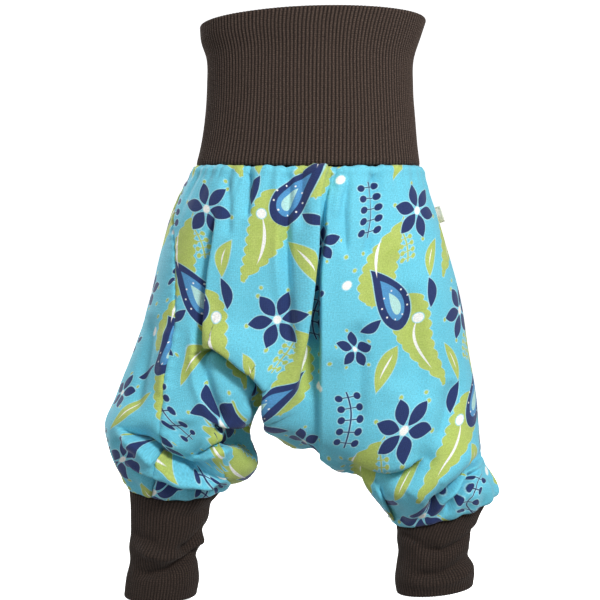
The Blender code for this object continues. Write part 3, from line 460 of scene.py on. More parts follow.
# The body with no folds: for each share, a smooth curve down through the rings, the fullest line and the lower edge.
def bodyForm(share, along):
    rows = np.stack([readRow(row, share) for row in bodyRows])
    start = body["waistFlare"] * unit(rows[0] * (1, 1, 0)) - (0, 0, body["waistFall"])
    lastStep = np.linalg.norm(rows[-1] - rows[-2], axis=-1, keepdims=True)
    end = readRow(arrivalRow, share) * lastStep * body["tuckReach"] / (bodyKnots[-1] - bodyKnots[-2])
    return smooth(bodyKnots, rows, along, (start, end))


# The direction out of the body: the cross product of its slopes down and across.
def outward(share, along, step=0.004):
    across = bodyForm(share + step, along) - bodyForm(share - step, along)
    down = bodyForm(share, np.clip(along + step, 0, 1)) - bodyForm(share, np.clip(along - step, 0, 1))
    return unit(np.cross(down, across))


# Distance, seen from the front, from each point to a path; how far along it lies, 0 to 1; its side, 1 on the left;
# and the path's direction there.
def alongPath(points, path):
    flat, stops = points[..., [0, 2]], np.reshape(path, (-1, 2)).astype(float)
    travelled = runningTotal(stepLengths(stops))
    travelled /= travelled[-1]
    nearest, place, hand, way = np.inf, 0, 0, 0
    for index, (first, last) in enumerate(zip(stops[:-1], stops[1:])):
        run, off = last - first, flat - first
        t = np.clip((off @ run) / (run @ run), 0, 1)
        gap = np.linalg.norm(off - t[..., None] * run, axis=-1)
        closer = gap < nearest
        nearest = np.where(closer, gap, nearest)
        place = np.where(closer, travelled[index] * (1 - t) + travelled[index + 1] * t, place)
        hand = np.where(closer, np.sign(run[0] * off[..., 1] - run[1] * off[..., 0]), hand)
        way = np.where(closer[..., None], unit(run), way)
    return nearest, place, hand, way


# 1 on the given side and 0 on the other: 1 / (1 + exp(-side y / fade)).
def sameSide(points, side):
    return stepDown(-side * points[..., 1] / jersey["sideFade"])


# 3 e^2 - 2 e^3, where e rises from 0 to 1 over the first part of a path and falls back over the last.
def fadeEnds(place):
    ends = np.clip(place / jersey["pathFade"], 0, 1) * np.clip((1 - place) / jersey["pathFade"], 0, 1)
    return ends * ends * (3 - 2 * ends)


# The sum of height x exp(-(distance / width)^2).
def foldRelief(points, rows):
    return sum(height * bell(alongPath(points, path)[0], width) * sameSide(points, side)
               for side, height, width, path in rows)


# The sum of height x exp(-(distance / width)^power), with a width for each hand, fading at both ends.
def creaseRelief(points, rows):
    relief = np.zeros(points.shape[:-1])
    for side, height, left, right, power, path in rows:
        nearest, place, hand, _ = alongPath(points, path)
        ends = fadeEnds(place) * sameSide(points, side)
        relief += height * ends * bell(nearest, np.where(hand > 0, left, right), power)
    return relief


# A step from the upper cloth, up x exp(-(distance / reach)^2), to the lower, the same downwards with a narrow crevice
# beside the path; the upper cloth is moved over the lower by lean x its bell, so that its edge hangs over the path.
def flapRelief(points, rows):
    relief, shift = np.zeros(points.shape[:-1]), np.zeros(points.shape)
    for side, up, upReach, down, downReach, lean, path in rows:
        nearest, place, hand, way = alongPath(points, path)
        ends = fadeEnds(place)
        past = hand * nearest + lean * ends
        upper = stepDown(past / jersey["flapEdge"])
        ends = ends * sameSide(points, side)
        hill = upper * bell(past, upReach)
        beyond = np.maximum(hand * nearest, 0)
        narrow = max(jersey["creviceShare"] * downReach, jersey["creviceLeast"])
        lower = bell(beyond, downReach) + jersey["crevice"] * bell(beyond, narrow)
        relief += ends * (up * hill - down * (1 - upper) * lower)
        slide = lean * ends * hill
        shift[..., 0] -= slide * way[..., 1]
        shift[..., 2] += slide * way[..., 0]
    return relief, shift


# The pleat: -depth between its edges, and a bell of its own height beside each; each edge is moved over the recess by
# its lean x its bell.
def pleatRelief(points):
    x, z = points[..., 0], points[..., 2]
    knots, *columns = np.array(pleat["rows"]).T
    values = [np.interp(-z, -knots, column) for column in columns]
    left, right, depth, soft, up, lean, secondUp, secondLean = values
    beside, beyond = left - lean - x, x - right - secondLean
    first, second = stepDown(-beside / soft), stepDown(-beyond / pleat["edge"])
    hill, secondHill = first * bell(beside, pleat["firstReach"]), second * bell(beyond, pleat["secondReach"])
    inside = np.clip((waistLevel - z) / pleat["start"], 0, 1) * sameSide(points, -1)
    relief = up * hill + secondUp * secondHill - depth * (1 - first) * (1 - second)
    return relief * inside, (lean * hill - secondLean * secondHill) * inside


# Troughs that start at the waist seam: depth x exp(-(across / width)^2) x exp(-(below / reach)^2).
def gatherRelief(share, points, rows, start):
    below = np.maximum(waistLevel - points[..., 2], 0)
    relief = sum(-depth * bell((share - place) * jersey["halfWaist"], width) * bell(below, reach)
                 for place, depth, width, reach in rows)
    return relief * (1 - np.exp(-below / start))


# How far each share is from the nearer side of the body.
def fromSide(share):
    return np.abs(np.mod(share + 0.5, 1) - 0.5)


# Small even puckers round each cuff seam, which fade upwards and stop before the inseam.
def cuffGatherRelief(share, along):
    across = fromSide(share) / cuffShare
    sway, turns = jersey["cuffGatherSway"]
    wave = np.cos(np.pi * jersey["cuffGathers"] * across + sway * np.sin(turns * share))
    inside = np.clip((1 - across) / jersey["cuffGatherStop"], 0, 1)
    return jersey["cuffGatherDepth"] * wave * bell(1 - along, jersey["cuffGatherReach"]) * inside


# The folded body as four parts: the form, the direction out of it, the height of its folds along that direction and
# how far the flaps and the pleat move the cloth aside. No fold is deeper than a share of the distance to the middle.
def bodySurface(share, along):
    points = bodyForm(share, along)
    folded, shift = flapRelief(points, flaps)
    pleated, aside = pleatRelief(points)
    shift[..., 0] += aside
    relief = foldRelief(points, largeFolds) + creaseRelief(points, creases) + cuffGatherRelief(share, along)
    relief = np.maximum(relief + folded + pleated, -jersey["deepest"] * np.abs(points[..., 1]))
    inside = np.clip(along / jersey["foldStart"], 0, 1) * np.clip((1 - along) / jersey["foldEnd"], 0, 1)
    gathered = gatherRelief(share, points, gathers, jersey["gatherStart"])
    gathered += gatherRelief(share, points, tightGathers, jersey["tightStart"])
    return points, outward(share, along), relief * inside + gathered, shift * inside[..., None]


# Shares of the columns in each row, and how they crowd: evenly over each leg, and t + crowd sin(2 pi t) by the pleat.
def panelShares(along, side):
    knots, *columns = np.array(body["sideSeams"]).T
    right, left = [smooth(knots, column, along) for column in columns]
    stops = (right, cuffShare, 1 - cuffShare, left)
    if side > 0:
        stops = (left, 1 + cuffShare, 2 - cuffShare, 2 + right)
    stops = [np.broadcast_to(stop, along.shape)[:, None] for stop in stops]
    parts, whole = [], 2 * np.pi
    for first, last, count, crowd in zip(stops[:-1], stops[1:], jersey["columns"], jersey["crowding"]):
        t = np.linspace(0, 1, count, endpoint=False)
        phase = whole * jersey["pleatAt"]
        t = t - crowd / whole * (np.sin(whole * t - phase) + np.sin(phase))
        parts.append(first * (1 - t) + last * t)
    return np.concatenate([*parts, stops[-1]], axis=1)


# Unit normals of a grid of points, from the cross product of its slopes.
def gridNormals(grid):
    return unit(np.cross(np.gradient(grid, axis=0), np.gradient(grid, axis=1)))


# Each value replaced by a function, such as the mean, of those within reach along one axis.
def overNeighbours(function, values, axis, reach):
    moved = np.moveaxis(values, axis, 0)
    padded = np.concatenate([moved[:1]] * reach + [moved] + [moved[-1:]] * reach)
    windows = [padded[i : i + len(moved)] for i in range(2 * reach + 1)]
    return np.moveaxis(function(windows, axis=0), 0, axis)


# The lowest value among the neighbours within reach, along both axes.
def lowest(values, reach):
    return overNeighbours(np.min, overNeighbours(np.min, values, 0, reach), 1, reach)


# Lengths over the cloth: across each row from the middle column, and square to the rows from the top, each evened
# out over its neighbours, so that the print lies as smoothly as it was printed.
def clothPlaces(grid):
    across = stepLengths(grid.swapaxes(0, 1)).T
    tangent = unit(np.gradient(grid, axis=1))[:-1]
    steps = np.diff(grid, axis=0)
    down = np.linalg.norm(steps - (steps * tangent).sum(axis=-1, keepdims=True) * tangent, axis=-1)
    for _ in range(2):
        across = overNeighbours(np.mean, across, 0, jersey["printEven"])
        down = overNeighbours(np.mean, down, 1, jersey["printEven"])
    u = runningTotal(across.T).T
    return u - u[:, [u.shape[1] // 2]], runningTotal(down)


# How each panel behaves near its edges: pulled in at the seam, standing out just beyond it, with small waves. Each is
# a height x a bell of the distance from the edge.
def seamRelief(u, v, share):
    fromTop, fromHem, fromSides = v, v[-1:] - v, np.minimum(u - u[:, :1], u[:, -1:] - u)
    atCuff = fromSide(share) < cuffShare
    relief = sum(-jersey["seamDip"] * bell(gap, jersey["seamWidth"]) for gap in (fromTop, fromHem, fromSides))
    for gap, amount in ((fromTop, 1), (fromHem, np.where(atCuff, *jersey["hemPuff"]))):
        relief += jersey["puffHeight"] * bell(gap - jersey["puffAt"], jersey["puffWidth"]) * amount
    wave = unevenWaves(v, *jersey["sideWaves"]) * bell(fromSides, jersey["puckerReach"])
    wave += np.where(atCuff, 0, unevenWaves(u, *jersey["hemWaves"])) * bell(fromHem, jersey["puckerReach"])
    swing = 1 - jersey["riseSwing"] * (1 - unevenWaves(u, *jersey["riseWaves"]))
    rise = jersey["riseHeight"] * swing * bell(fromTop - jersey["riseAt"], jersey["riseWidth"])
    return relief + jersey["puckerHeight"] * wave + jersey["riseOut"] * rise, rise


# Quads of a grid: corner numbers row x columns + column, wrapped round where the grid is closed.
def gridFaces(rows, columns, closed=False):
    row, at = np.meshgrid(np.arange(rows - 1), np.arange(columns if closed else columns - 1), indexing="ij")
    following = (at + 1) % columns
    corners = [row * columns + at, row * columns + following,
               (row + 1) * columns + following, (row + 1) * columns + at]
    return np.stack(corners, axis=-1).reshape(-1, 4)


# A mesh object from points in mm and sets of faces, each with the number of its finish; uv is in mm, and values are
# kept by point.
def addPiece(name, points, faceSets, uv, values, finishes):
    mesh = bpy.data.meshes.new(name)
    corners = np.concatenate([faces.ravel() for faces, _ in faceSets])
    sizes = np.concatenate([np.full(len(faces), faces.shape[1]) for faces, _ in faceSets])
    mesh.vertices.add(len(points))
    mesh.vertices.foreach_set("co", (points * mm).ravel())
    mesh.loops.add(len(corners))
    mesh.loops.foreach_set("vertex_index", corners)
    mesh.polygons.add(len(sizes))
    mesh.polygons.foreach_set("loop_start", np.cumsum(sizes) - sizes)
    mesh.update(calc_edges=True)
    mesh.validate()
    mesh.polygons.foreach_set("use_smooth", np.ones(len(sizes), bool))
    mesh.polygons.foreach_set("material_index", np.concatenate([np.full(len(f), i) for f, i in faceSets]))
    mesh.uv_layers.new(name="cloth").data.foreach_set("uv", uv[corners].ravel())
    for key, value in values.items():
        mesh.attributes.new(key, "FLOAT", "POINT").data.foreach_set("value", value.ravel())
    for finish in finishes:
        mesh.materials.append(finish)
    made = bpy.data.objects.new(name, mesh)
    bpy.context.scene.collection.objects.link(made)
    return made


# Sets a piece on the one body and hides the solid that it stands for.
def dress(made, node):
    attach(made, "root")
    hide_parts(node)
    return made


# The indices round the border of a grid of them, once round.
def borderOf(index):
    return np.concatenate([index[0, :-1], index[:-1, -1], index[-1, :0:-1], index[:0:-1, 0]])


# A grid read between every step-th point of its rows and columns, as a mesh with those corners alone would lie.
def coarsely(grid, step):
    for axis in (0, 1):
        moved = np.moveaxis(grid, axis, 0)
        at = np.arange(len(moved)) / step
        low = np.minimum(at.astype(int), (len(moved) - 1) // step - 1)
        t = (at - low).reshape(-1, 1, 1)
        grid = np.moveaxis(moved[low * step] * (1 - t) + moved[(low + 1) * step] * t, 0, axis)
    return grid


# A wall between two grids. The wrong side has one face for step x step of the right side, and faces with step + 3
# corners join the two round the border.
def shellOf(right, wrong, uv, step):
    rows, columns = right.shape[:2]
    wrong = wrong[::step, ::step]
    rim = borderOf(np.arange(rows * columns).reshape(rows, columns))
    innerRim = rows * columns + borderOf(np.arange(wrong.shape[0] * wrong.shape[1]).reshape(wrong.shape[:2]))
    starts = np.arange(0, len(rim), step)
    strip = [rim[(starts + i) % len(rim)] for i in range(step + 1)] + [np.roll(innerRim, -1), innerRim]
    faceSets = (
        (gridFaces(rows, columns)[:, ::-1], 0),
        (gridFaces(*wrong.shape[:2]) + rows * columns, 1),
        (np.stack(strip, axis=-1), 0),
    )
    points = np.concatenate([right.reshape(-1, 3), wrong.reshape(-1, 3)])
    return points, faceSets, np.concatenate([uv.reshape(-1, 2), uv[::step, ::step].reshape(-1, 2)])


# An sRGB hex colour as linear light: c / 12.92 below 0.04045, else ((c + 0.055) / 1.055)^2.4.
def linear(colour):
    channels = [int(colour[i : i + 2], 16) / 255 for i in (0, 2, 4)]
    return (*[c / 12.92 if c <= 0.04045 else ((c + 0.055) / 1.055) ** 2.4 for c in channels], 1)


# Sets a node's sockets, by number or name, each to a link, a number or a hex colour.
def setInputs(tree, node, inputs):
    for key, value in inputs.items():
        if isinstance(value, bpy.types.NodeSocket):
            tree.links.new(value, node.inputs[key])
        else:
            node.inputs[key].default_value = linear(value) if isinstance(value, str) else value


# Adds one node with its properties and sockets, and gives its first output, or the one that is named.
def addNode(tree, kind, inputs, out=0, **settings):
    node = tree.nodes.new(kind)
    for key, value in settings.items():
        setattr(node, key, value)
    setInputs(tree, node, inputs)
    return node.outputs[out]


# Works through steps of sums: a name for the result, an operation, then numbers or names of earlier results.
def workOut(tree, known, steps):
    known = dict(known)
    for step in steps:
        name, operation, *terms = step.split()
        inputs = {i: known[term] if term in known else float(term) for i, term in enumerate(terms)}
        known[name] = addNode(tree, "ShaderNodeMath", inputs, operation=operation)
    return known


# Mixes two colours by a factor.
def mixColours(tree, factor, low, high, **settings):
    return addNode(tree, "ShaderNodeMix", {"Factor": factor, 6: low, 7: high}, out=2, data_type="RGBA", **settings)


# Carries a value from one range to another, low and high to low and high, and stops at its ends.
def mapRange(tree, value, *limits, **settings):
    return addNode(tree, "ShaderNodeMapRange", dict(enumerate((value, *limits))), **settings)


# Uneven patches, 0 to 1.
def noise(tree, place, scale, detail):
    return addNode(tree, "ShaderNodeTexNoise", {"Vector": place, "Scale": scale, "Detail": detail})


# The normal tilted by the slope of height x depth in mm.
def bumpOf(tree, height, depth):
    return addNode(tree, "ShaderNodeBump", {"Height": height, "Distance": depth * mm, "Strength": 1})


# A material with its node tree and its one shader.
def newFinish(name):
    finish = bpy.data.materials.new(name)
    finish.use_nodes = True
    return finish, finish.node_tree, finish.node_tree.nodes["Principled BSDF"]


# The place on the cloth in mm, as a vector and as u and v.
def clothPlace(tree):
    cloth = addNode(tree, "ShaderNodeUVMap", {}, uv_map="cloth")
    u = addNode(tree, "ShaderNodeSeparateXYZ", {0: cloth})
    return cloth, {"u": u, "v": u.node.outputs[1]}


knit = {
    "jerseyWale": 1.5,  # true pitch about 0.8; drawn coarser to show
    "jerseyCourse": 1.2,
    "jerseyBump": 0.1,  # in mm
    "stitchSlant": 1.4,
    "fuzz": 0.9,  # how fine the yarn's speckle is, per mm
    "fuzzShade": (0.25, 0.75, 0.78, 1.12),  # what it multiplies the colour by, from its low to its high places
    "struckThrough": 0.06,  # how fine the patches of dye on the wrong side are
    "ribCourse": 1.5,  # rows of stitches; true pitch about 1
    "courseSway": 2.6,
    # Painted light and shade along the rows of stitches: a row's crest is lighter and its groove darker.
    "courseLight": 0.45,  # a row's crest is lighter by this than courseDark, its groove
    "courseDark": 0.55,
    "fibre": 1.1,  # how fine the yarn's unevenness is, per mm
    "fleckFibre": (0.35, 0.68, 0, 1),  # where it turns to the flecks' colour
    "ribBump": 0.16,
    "tapeWale": 0.6,
    "tapeCourse": 0.5,
    "tapeBump": 0.08,
}


# Columns of V stitches: |sin| across each column, shifted down by the distance from its middle, times |sin| down it.
def knitHeight(tree, place, wale, course):
    return workOut(tree, {**knit, **place, "perWale": np.pi / wale, "perCourse": np.pi / course}, (
        "turnU MULTIPLY u perWale",
        "sinU SINE turnU",
        "columnU ABSOLUTE sinU",
        "turnV MULTIPLY v perCourse",
        "slant MULTIPLY_ADD columnU stitchSlant turnV",
        "sinV SINE slant",
        "rowV ABSOLUTE sinV",
        "height MULTIPLY columnU rowV",
    ))["height"]


# The print repeats on a half-drop: columns of motifs, each second column half a repeat lower and mirrored.
printing = {
    "column": 88,
    "repeat": 156,
    "edge": 0.4,  # softness of the ink's edge
    "halo": 0.8,  # pale line round each motif
    "mottle": 0.16,  # how fine the patches of a ground or lime between its two colours are
    "ground": "70CCE2",
    "groundDeep": "63C4DC",
    "lime": "BDCD72",
    "limeDeep": "A6BC55",
    "navy": "1E3062",
    "blue": "4F93C6",
    "mint": "B4E0DA",
    "white": "F6F6F2",
    "haloColour": "A4DDEA",
    # layer, colour, with a halo; the later lie over the earlier
    "layers": (
        ("lime", "lime", True), ("navy", "navy", True), ("blue", "blue", False), ("mint", "mint", False),
        ("specks", "white", False), ("veins", "white", False), ("eyes", "white", True), ("berries", "white", True),
    ),
    # kind, layer, x, y, angle in degrees, the sizes that motifSizes names
    "motifs": (
        ("plume", "lime", -22, -36, 262, 37, 15, 20, 7.4, 1.2), ("plume", "lime", 12, 24, 90, 32, 14, -15, 7.4, 1.2),
        ("leaf", "lime", 6, -52, 118, 19, 6.6, -0.014), ("leaf", "lime", -31, 26, 106, 15, 5.2, -0.015),
        ("sprig", "lime", -8, 36, 70, 12.5, 5, 4.4, 1.9, 0.012), ("flower", "navy", -16, 61, 10, 6, 12.4, 9.4, 5.2),
        ("flower", "navy", 29, -40, 25, 5, 8.2, 6.2, 4.2), ("drop", "navy", -3, -1, 64, 27, 13, 11),
        ("sprig", "navy", 25, 64, 78, 21.25, 8.5, 6.8, 2.9, 0.008), ("leaf", "navy", -34, 0, 76, 11.5, 4.3, 0.018),
        ("leaf", "navy", 11, -24, 150, 9.5, 3.8, 0.02), ("drop", "blue", -4.3, -2.4, 64, 18, 8.2, 7),
        ("drop", "mint", -6.4, -5.7, 64, 9.8, 4.5, 3.2), ("dots", "lime", -16, 61, 12, 6, 22.5, 1.7),
        ("dots", "specks", -6.5, -7, 64, 9, 11.2, 0.85), ("dots", "lime", 29, -40, 12, 5, 15, 1.3),
        ("dots", "lime", 32, 26, 20, 3, 7.5, 1.6), ("dots", "lime", -34, -66, 70, 3, 8, 1.5),
        ("disc", "berries", -27, -18, 0, 3.7), ("disc", "berries", 34, 8, 0, 3.4), ("disc", "eyes", -16, 61, 0, 3.2),
        ("disc", "eyes", 29, -40, 0, 2.1), ("leaf", "veins", -25.5, -38, 262, 19, 1.5, 0.011),
        ("leaf", "veins", 15.5, 27, 88, 15, 1.4, -0.013), ("leaf", "veins", 6, -52, 118, 11, 0.9, -0.014),
        ("leaf", "veins", -31, 26, 106, 8, 0.7, -0.015),
    ),
    "stem": 0.8,  # half widths of a sprig's stem and stalks
    "stalk": 0.6,
    "dropPeak": 0.385,  # the largest value of sqrt(s) (1 - s)
    "dropEnd": 40,  # how fast a drop and a sprig stop beyond their ends
    "sprigEnd": -5,
}
motifSizes = {
    "leaf": ("length", "width", "bend"),
    "drop": ("length", "width", "hook"),
    "plume": ("length", "width", "hook", "lobe", "rise"),
    "sprig": ("length", "pitch", "offset", "radius", "bend"),
    "flower": ("count", "out", "length", "width"),
    "dots": ("count", "out", "radius"),
    "disc": ("radius",),
}

# Finds the nearest column and repeat, mirrors each second column and turns to the motif's angle.
placeSteps = (
    "inColumns DIVIDE u column",
    "number ROUND inColumns",
    "odd FLOORED_MODULO number 2",
    "strip SUBTRACT inColumns number",
    "mirror MULTIPLY_ADD odd back column",
    "stripX MULTIPLY_ADD strip mirror left",
    "drop MULTIPLY_ADD odd lowest v",
    "shifted SUBTRACT drop down",
    "localY WRAP shifted highest lowest",
    "xPart MULTIPLY stripX cosine",
    "yPart MULTIPLY localY cosine",
    "x MULTIPLY_ADD localY sine xPart",
    "y MULTIPLY_ADD stripX unsine yPart",
)
# A petal or leaf: half width W (1 - (x / L)^2) round a line bent by k x^2, less the distance |y|.
leafSteps = (
    "square MULTIPLY x x",
    "bentY MULTIPLY_ADD square bend y",
    "off ABSOLUTE bentY",
    "half MULTIPLY_ADD square taper width",
    "inside SUBTRACT half off",
)
# A teardrop: half width A sqrt(s) (1 - s), s from its round end to its tip, round a line bent by s^3.
dropSteps = (
    "rawS MULTIPLY_ADD x perLength 0.5",
    "low MAXIMUM rawS 0",
    "s MINIMUM low 1",
    "cube POWER s 3",
    "bentY MULTIPLY_ADD cube hook y",
    "off ABSOLUTE bentY",
    "root SQRT s",
    "left SUBTRACT 1 s",
    "shape MULTIPLY root left",
    "past SUBTRACT rawS s",
    "pastOff ABSOLUTE past",
    "allOff MULTIPLY_ADD pastOff dropEnd off",
    "half MULTIPLY shape belly",
    "inside SUBTRACT half allOff",
)
# A plume: a teardrop whose half width also rises and falls in lobes, by height (2 |sin(pi x / length)| - 1).
plumeSteps = dropSteps[:-1] + (
    "turnX MULTIPLY x perLobe",
    "sinX SINE turnX",
    "lobe ABSOLUTE sinX",
    "lobed MULTIPLY_ADD lobe twiceRise half",
    "lowered SUBTRACT lobed rise",
    "inside SUBTRACT lowered allOff",
)
# A sprig: a stem bent by k x^2, and on both sides of it a row of berries, each on its stalk.
sprigSteps = (
    "square MULTIPLY x x",
    "bentY MULTIPLY_ADD square bend y",
    "side ABSOLUTE bentY",
    "cell WRAP x halfPitch lowPitch",
    "cellOff ABSOLUTE cell",
    "dy SUBTRACT side offset",
    "dd MULTIPLY dy dy",
    "rr MULTIPLY_ADD cell cell dd",
    "r SQRT rr",
    "berry SUBTRACT radius r",
    "besideStalk SUBTRACT stalk cellOff",
    "belowBerry SUBTRACT offset side",
    "stalks MINIMUM besideStalk belowBerry",
    "stems SUBTRACT stem side",
    "lines MAXIMUM stalks stems",
    "all MAXIMUM lines berry",
    "far ABSOLUTE x",
    "over SUBTRACT far length",
    "past MAXIMUM over 0",
    "inside MULTIPLY_ADD past sprigEnd all",
)
# A disc: its radius less the distance from its middle.
discSteps = ("xx MULTIPLY x x", "rr MULTIPLY_ADD y y xx", "r SQRT rr", "inside SUBTRACT radius r")
# x and y folded into one of n equal sectors, and moved out from the middle.
sectorSteps = discSteps[:-1] + (
    "turn ARCTAN2 y x",
    "folded PINGPONG turn sector",
    "cos COSINE folded",
    "sin SINE folded",
    "along MULTIPLY r cos",
    "y MULTIPLY r sin",
    "x SUBTRACT along out",
)
motifSteps = {
    "leaf": leafSteps,
    "drop": dropSteps,
    "plume": plumeSteps,
    "sprig": sprigSteps,
    "flower": sectorSteps + leafSteps,
    "dots": sectorSteps + discSteps,
    "disc": discSteps,
}


# How far inside a motif each point lies, in mm. Sizes that a kind doesn't have keep numbers that do no harm.
def motifInk(tree, place, kind, x, y, angle, *sizes):
    half, turn = printing["repeat"] / 2, np.radians(angle)
    local = workOut(tree, {
        **printing, **place, "back": -2 * printing["column"], "left": -x, "down": y, "lowest": -half, "highest": half,
        "cosine": np.cos(turn), "sine": np.sin(turn), "unsine": -np.sin(turn),
    }, placeSteps)
    size = {"length": 1, "width": 0, "bend": 0, "pitch": 1, "lobe": 1, "rise": 0, "count": 1,
            **dict(zip(motifSizes[kind], sizes))}
    return workOut(tree, {
        **printing, **size, "x": local["x"], "y": local["y"], "taper": -size["width"] / size["length"] ** 2,
        "perLength": 0.5 / size["length"], "belly": size["width"] / printing["dropPeak"],
        "perLobe": np.pi / size["lobe"], "twiceRise": 2 * size["rise"], "halfPitch": size["pitch"] / 2,
        "lowPitch": -size["pitch"] / 2, "sector": np.pi / size["count"],
    }, motifSteps[kind])["inside"]


# Cotton jersey, single knit, printed on its face: matt and soft, with fine columns of V stitches and a slight nap.
def makeJersey(name, shiftU, shiftV):
    finish, tree, shader = newFinish(name)
    cloth, place = clothPlace(tree)
    shifted = workOut(tree, place, (f"u ADD u {shiftU}", f"v ADD v {shiftV}"))
    inside = {}
    for kind, layer, *where in printing["motifs"]:
        ink = motifInk(tree, shifted, kind, *where)
        if layer in inside:
            ink = addNode(tree, "ShaderNodeMath", {0: inside[layer], 1: ink}, operation="MAXIMUM")
        inside[layer] = ink
    mottle = noise(tree, cloth, printing["mottle"], 3)
    colour = mixColours(tree, mottle, printing["groundDeep"], printing["ground"])
    inks = {**printing, "lime": mixColours(tree, mottle, printing["limeDeep"], printing["lime"])}
    for layer, ink, haloed in printing["layers"]:
        if haloed:
            pale = mapRange(tree, inside[layer], -printing["halo"], 0, 0, 1)
            colour = mixColours(tree, pale, colour, printing["haloColour"])
        colour = mixColours(tree, mapRange(tree, inside[layer], 0, printing["edge"], 0, 1), colour, inks[ink])
    speckle = mapRange(tree, noise(tree, cloth, knit["fuzz"], 2), *knit["fuzzShade"])
    stitch = knitHeight(tree, place, knit["jerseyWale"], knit["jerseyCourse"])
    setInputs(tree, shader, {
        "Base Color": mixColours(tree, 1, colour, speckle, blend_type="MULTIPLY"),
        "Normal": bumpOf(tree, stitch, knit["jerseyBump"]),
        "Roughness": 0.82, "Specular IOR Level": 0.25, "Sheen Weight": 0.18, "Sheen Roughness": 0.45,
    })
    return finish


# The jersey's wrong side: unprinted yarn with the dye struck through, pale blue, with flat rows of loops.
def makeWrongSide():
    finish, tree, shader = newFinish("jersey wrong side")
    cloth, place = clothPlace(tree)
    loops = knitHeight(tree, {"u": place["v"], "v": place["u"]}, knit["jerseyCourse"], knit["jerseyWale"])
    setInputs(tree, shader, {
        "Base Color": mixColours(tree, noise(tree, cloth, knit["struckThrough"], 2), "A9D3DD", "C9E4E8"),
        "Normal": bumpOf(tree, loops, knit["jerseyBump"]),
        "Roughness": 0.9, "Specular IOR Level": 0.2,
    })
    return finish


# Cotton 1x1 rib knit, dyed dark brown: matt, nearly black in the grooves by painted shade and lighter on the crests by
# painted light, where rows of stitches, each lighter on its crest by painted light, and random flecks of paler fibre
# break up the colour.
def makeRib(name, shadedGroove, crest, fleck, contrast):
    finish, tree, shader = newFinish(name)
    cloth, place = clothPlace(tree)
    height = addNode(tree, "ShaderNodeAttribute", {}, out="Fac", attribute_name="rib")
    yarn = noise(tree, cloth, knit["fibre"], 3)
    known = {**knit, **place, "yarn": yarn, "crest": height, "contrast": contrast}
    # Painted light and shade: each row of stitches is lighter on its crest and darker in its groove, and the colour
    # goes from groove to crest with the rib's height.
    known = workOut(tree, {**known, "perCourse": np.pi / knit["ribCourse"]}, (
        "turnV MULTIPLY v perCourse",
        "wavyV MULTIPLY_ADD yarn courseSway turnV",
        "sinV SINE wavyV",
        "rowV ABSOLUTE sinV",
        "bump ADD rowV yarn",
        "rowShare MULTIPLY_ADD rowV courseLight courseDark",
        "steep POWER crest contrast",
        "light MULTIPLY steep rowShare",
    ))
    # The crest colour, lighter by painted light, with random flecks of paler fibre mixed in.
    paintedLightWithFlecks = mixColours(tree, mapRange(tree, yarn, *knit["fleckFibre"]), crest, fleck)
    # Base colour: from the groove colour's painted shade to the crest colour's painted light, by the rib's height and
    # its rows of stitches.
    setInputs(tree, shader, {
        "Base Color": mixColours(tree, known["light"], shadedGroove, paintedLightWithFlecks),
        "Normal": bumpOf(tree, known["bump"], knit["ribBump"]),
        "Roughness": 0.9, "Specular IOR Level": 0.1, "Sheen Weight": 0.05, "Sheen Roughness": 0.5,
    })
    return finish


# Woven polyester tape, white, with a fine even rib across it and a slight gloss, and painted shade that darkens its
# colour in the weave's low places.
def makeTape():
    finish, tree, shader = newFinish("white woven tape")
    weave = knitHeight(tree, clothPlace(tree)[1], knit["tapeWale"], knit["tapeCourse"])
    setInputs(tree, shader, {
        # Painted shade: the colour is darker where the weave is low.
        "Base Color": mixColours(tree, weave, "E8E7E0", "F8F8F4"),
        "Normal": bumpOf(tree, weave, knit["tapeBump"]),
        "Roughness": 0.55,
    })
    return finish


frontJersey = makeJersey("printed cotton jersey front", 9, 20)
backJersey = makeJersey("printed cotton jersey back", 31, 64)
wrongSide = makeWrongSide()
# Each rib's groove colour holds painted shade and its crest colour painted light; the third colour is its paler fibre
# flecks.
bandRib = makeRib("brown cotton rib knit", "17110E", "3E322D", "6A594F", 1.4)
cuffRib = makeRib("brown cuff rib knit", "120D0B", "2B2320", "50423A", 0.9)
tape = makeTape()
print("finishes made")


# The cloth beyond each edge of a grid: by inwards, against the given directions, and a share of that further out.
def turnIn(grid, out, by):
    for axis in (0, 1):
        grid, out = np.moveaxis(grid, axis, 0), np.moveaxis(out, axis, 0)
        turned = [grid[edge] - out[edge] * by + unit(grid[edge] - grid[inner]) * by * jersey["allowanceLean"]
                  for edge, inner in ((0, 1), (-1, -2))]
        grid = np.concatenate([turned[:1], grid, turned[1:]])
        out = np.concatenate([out[:1], out, out[-1:]])
        grid, out = np.moveaxis(grid, 0, axis), np.moveaxis(out, 0, axis)
    return grid


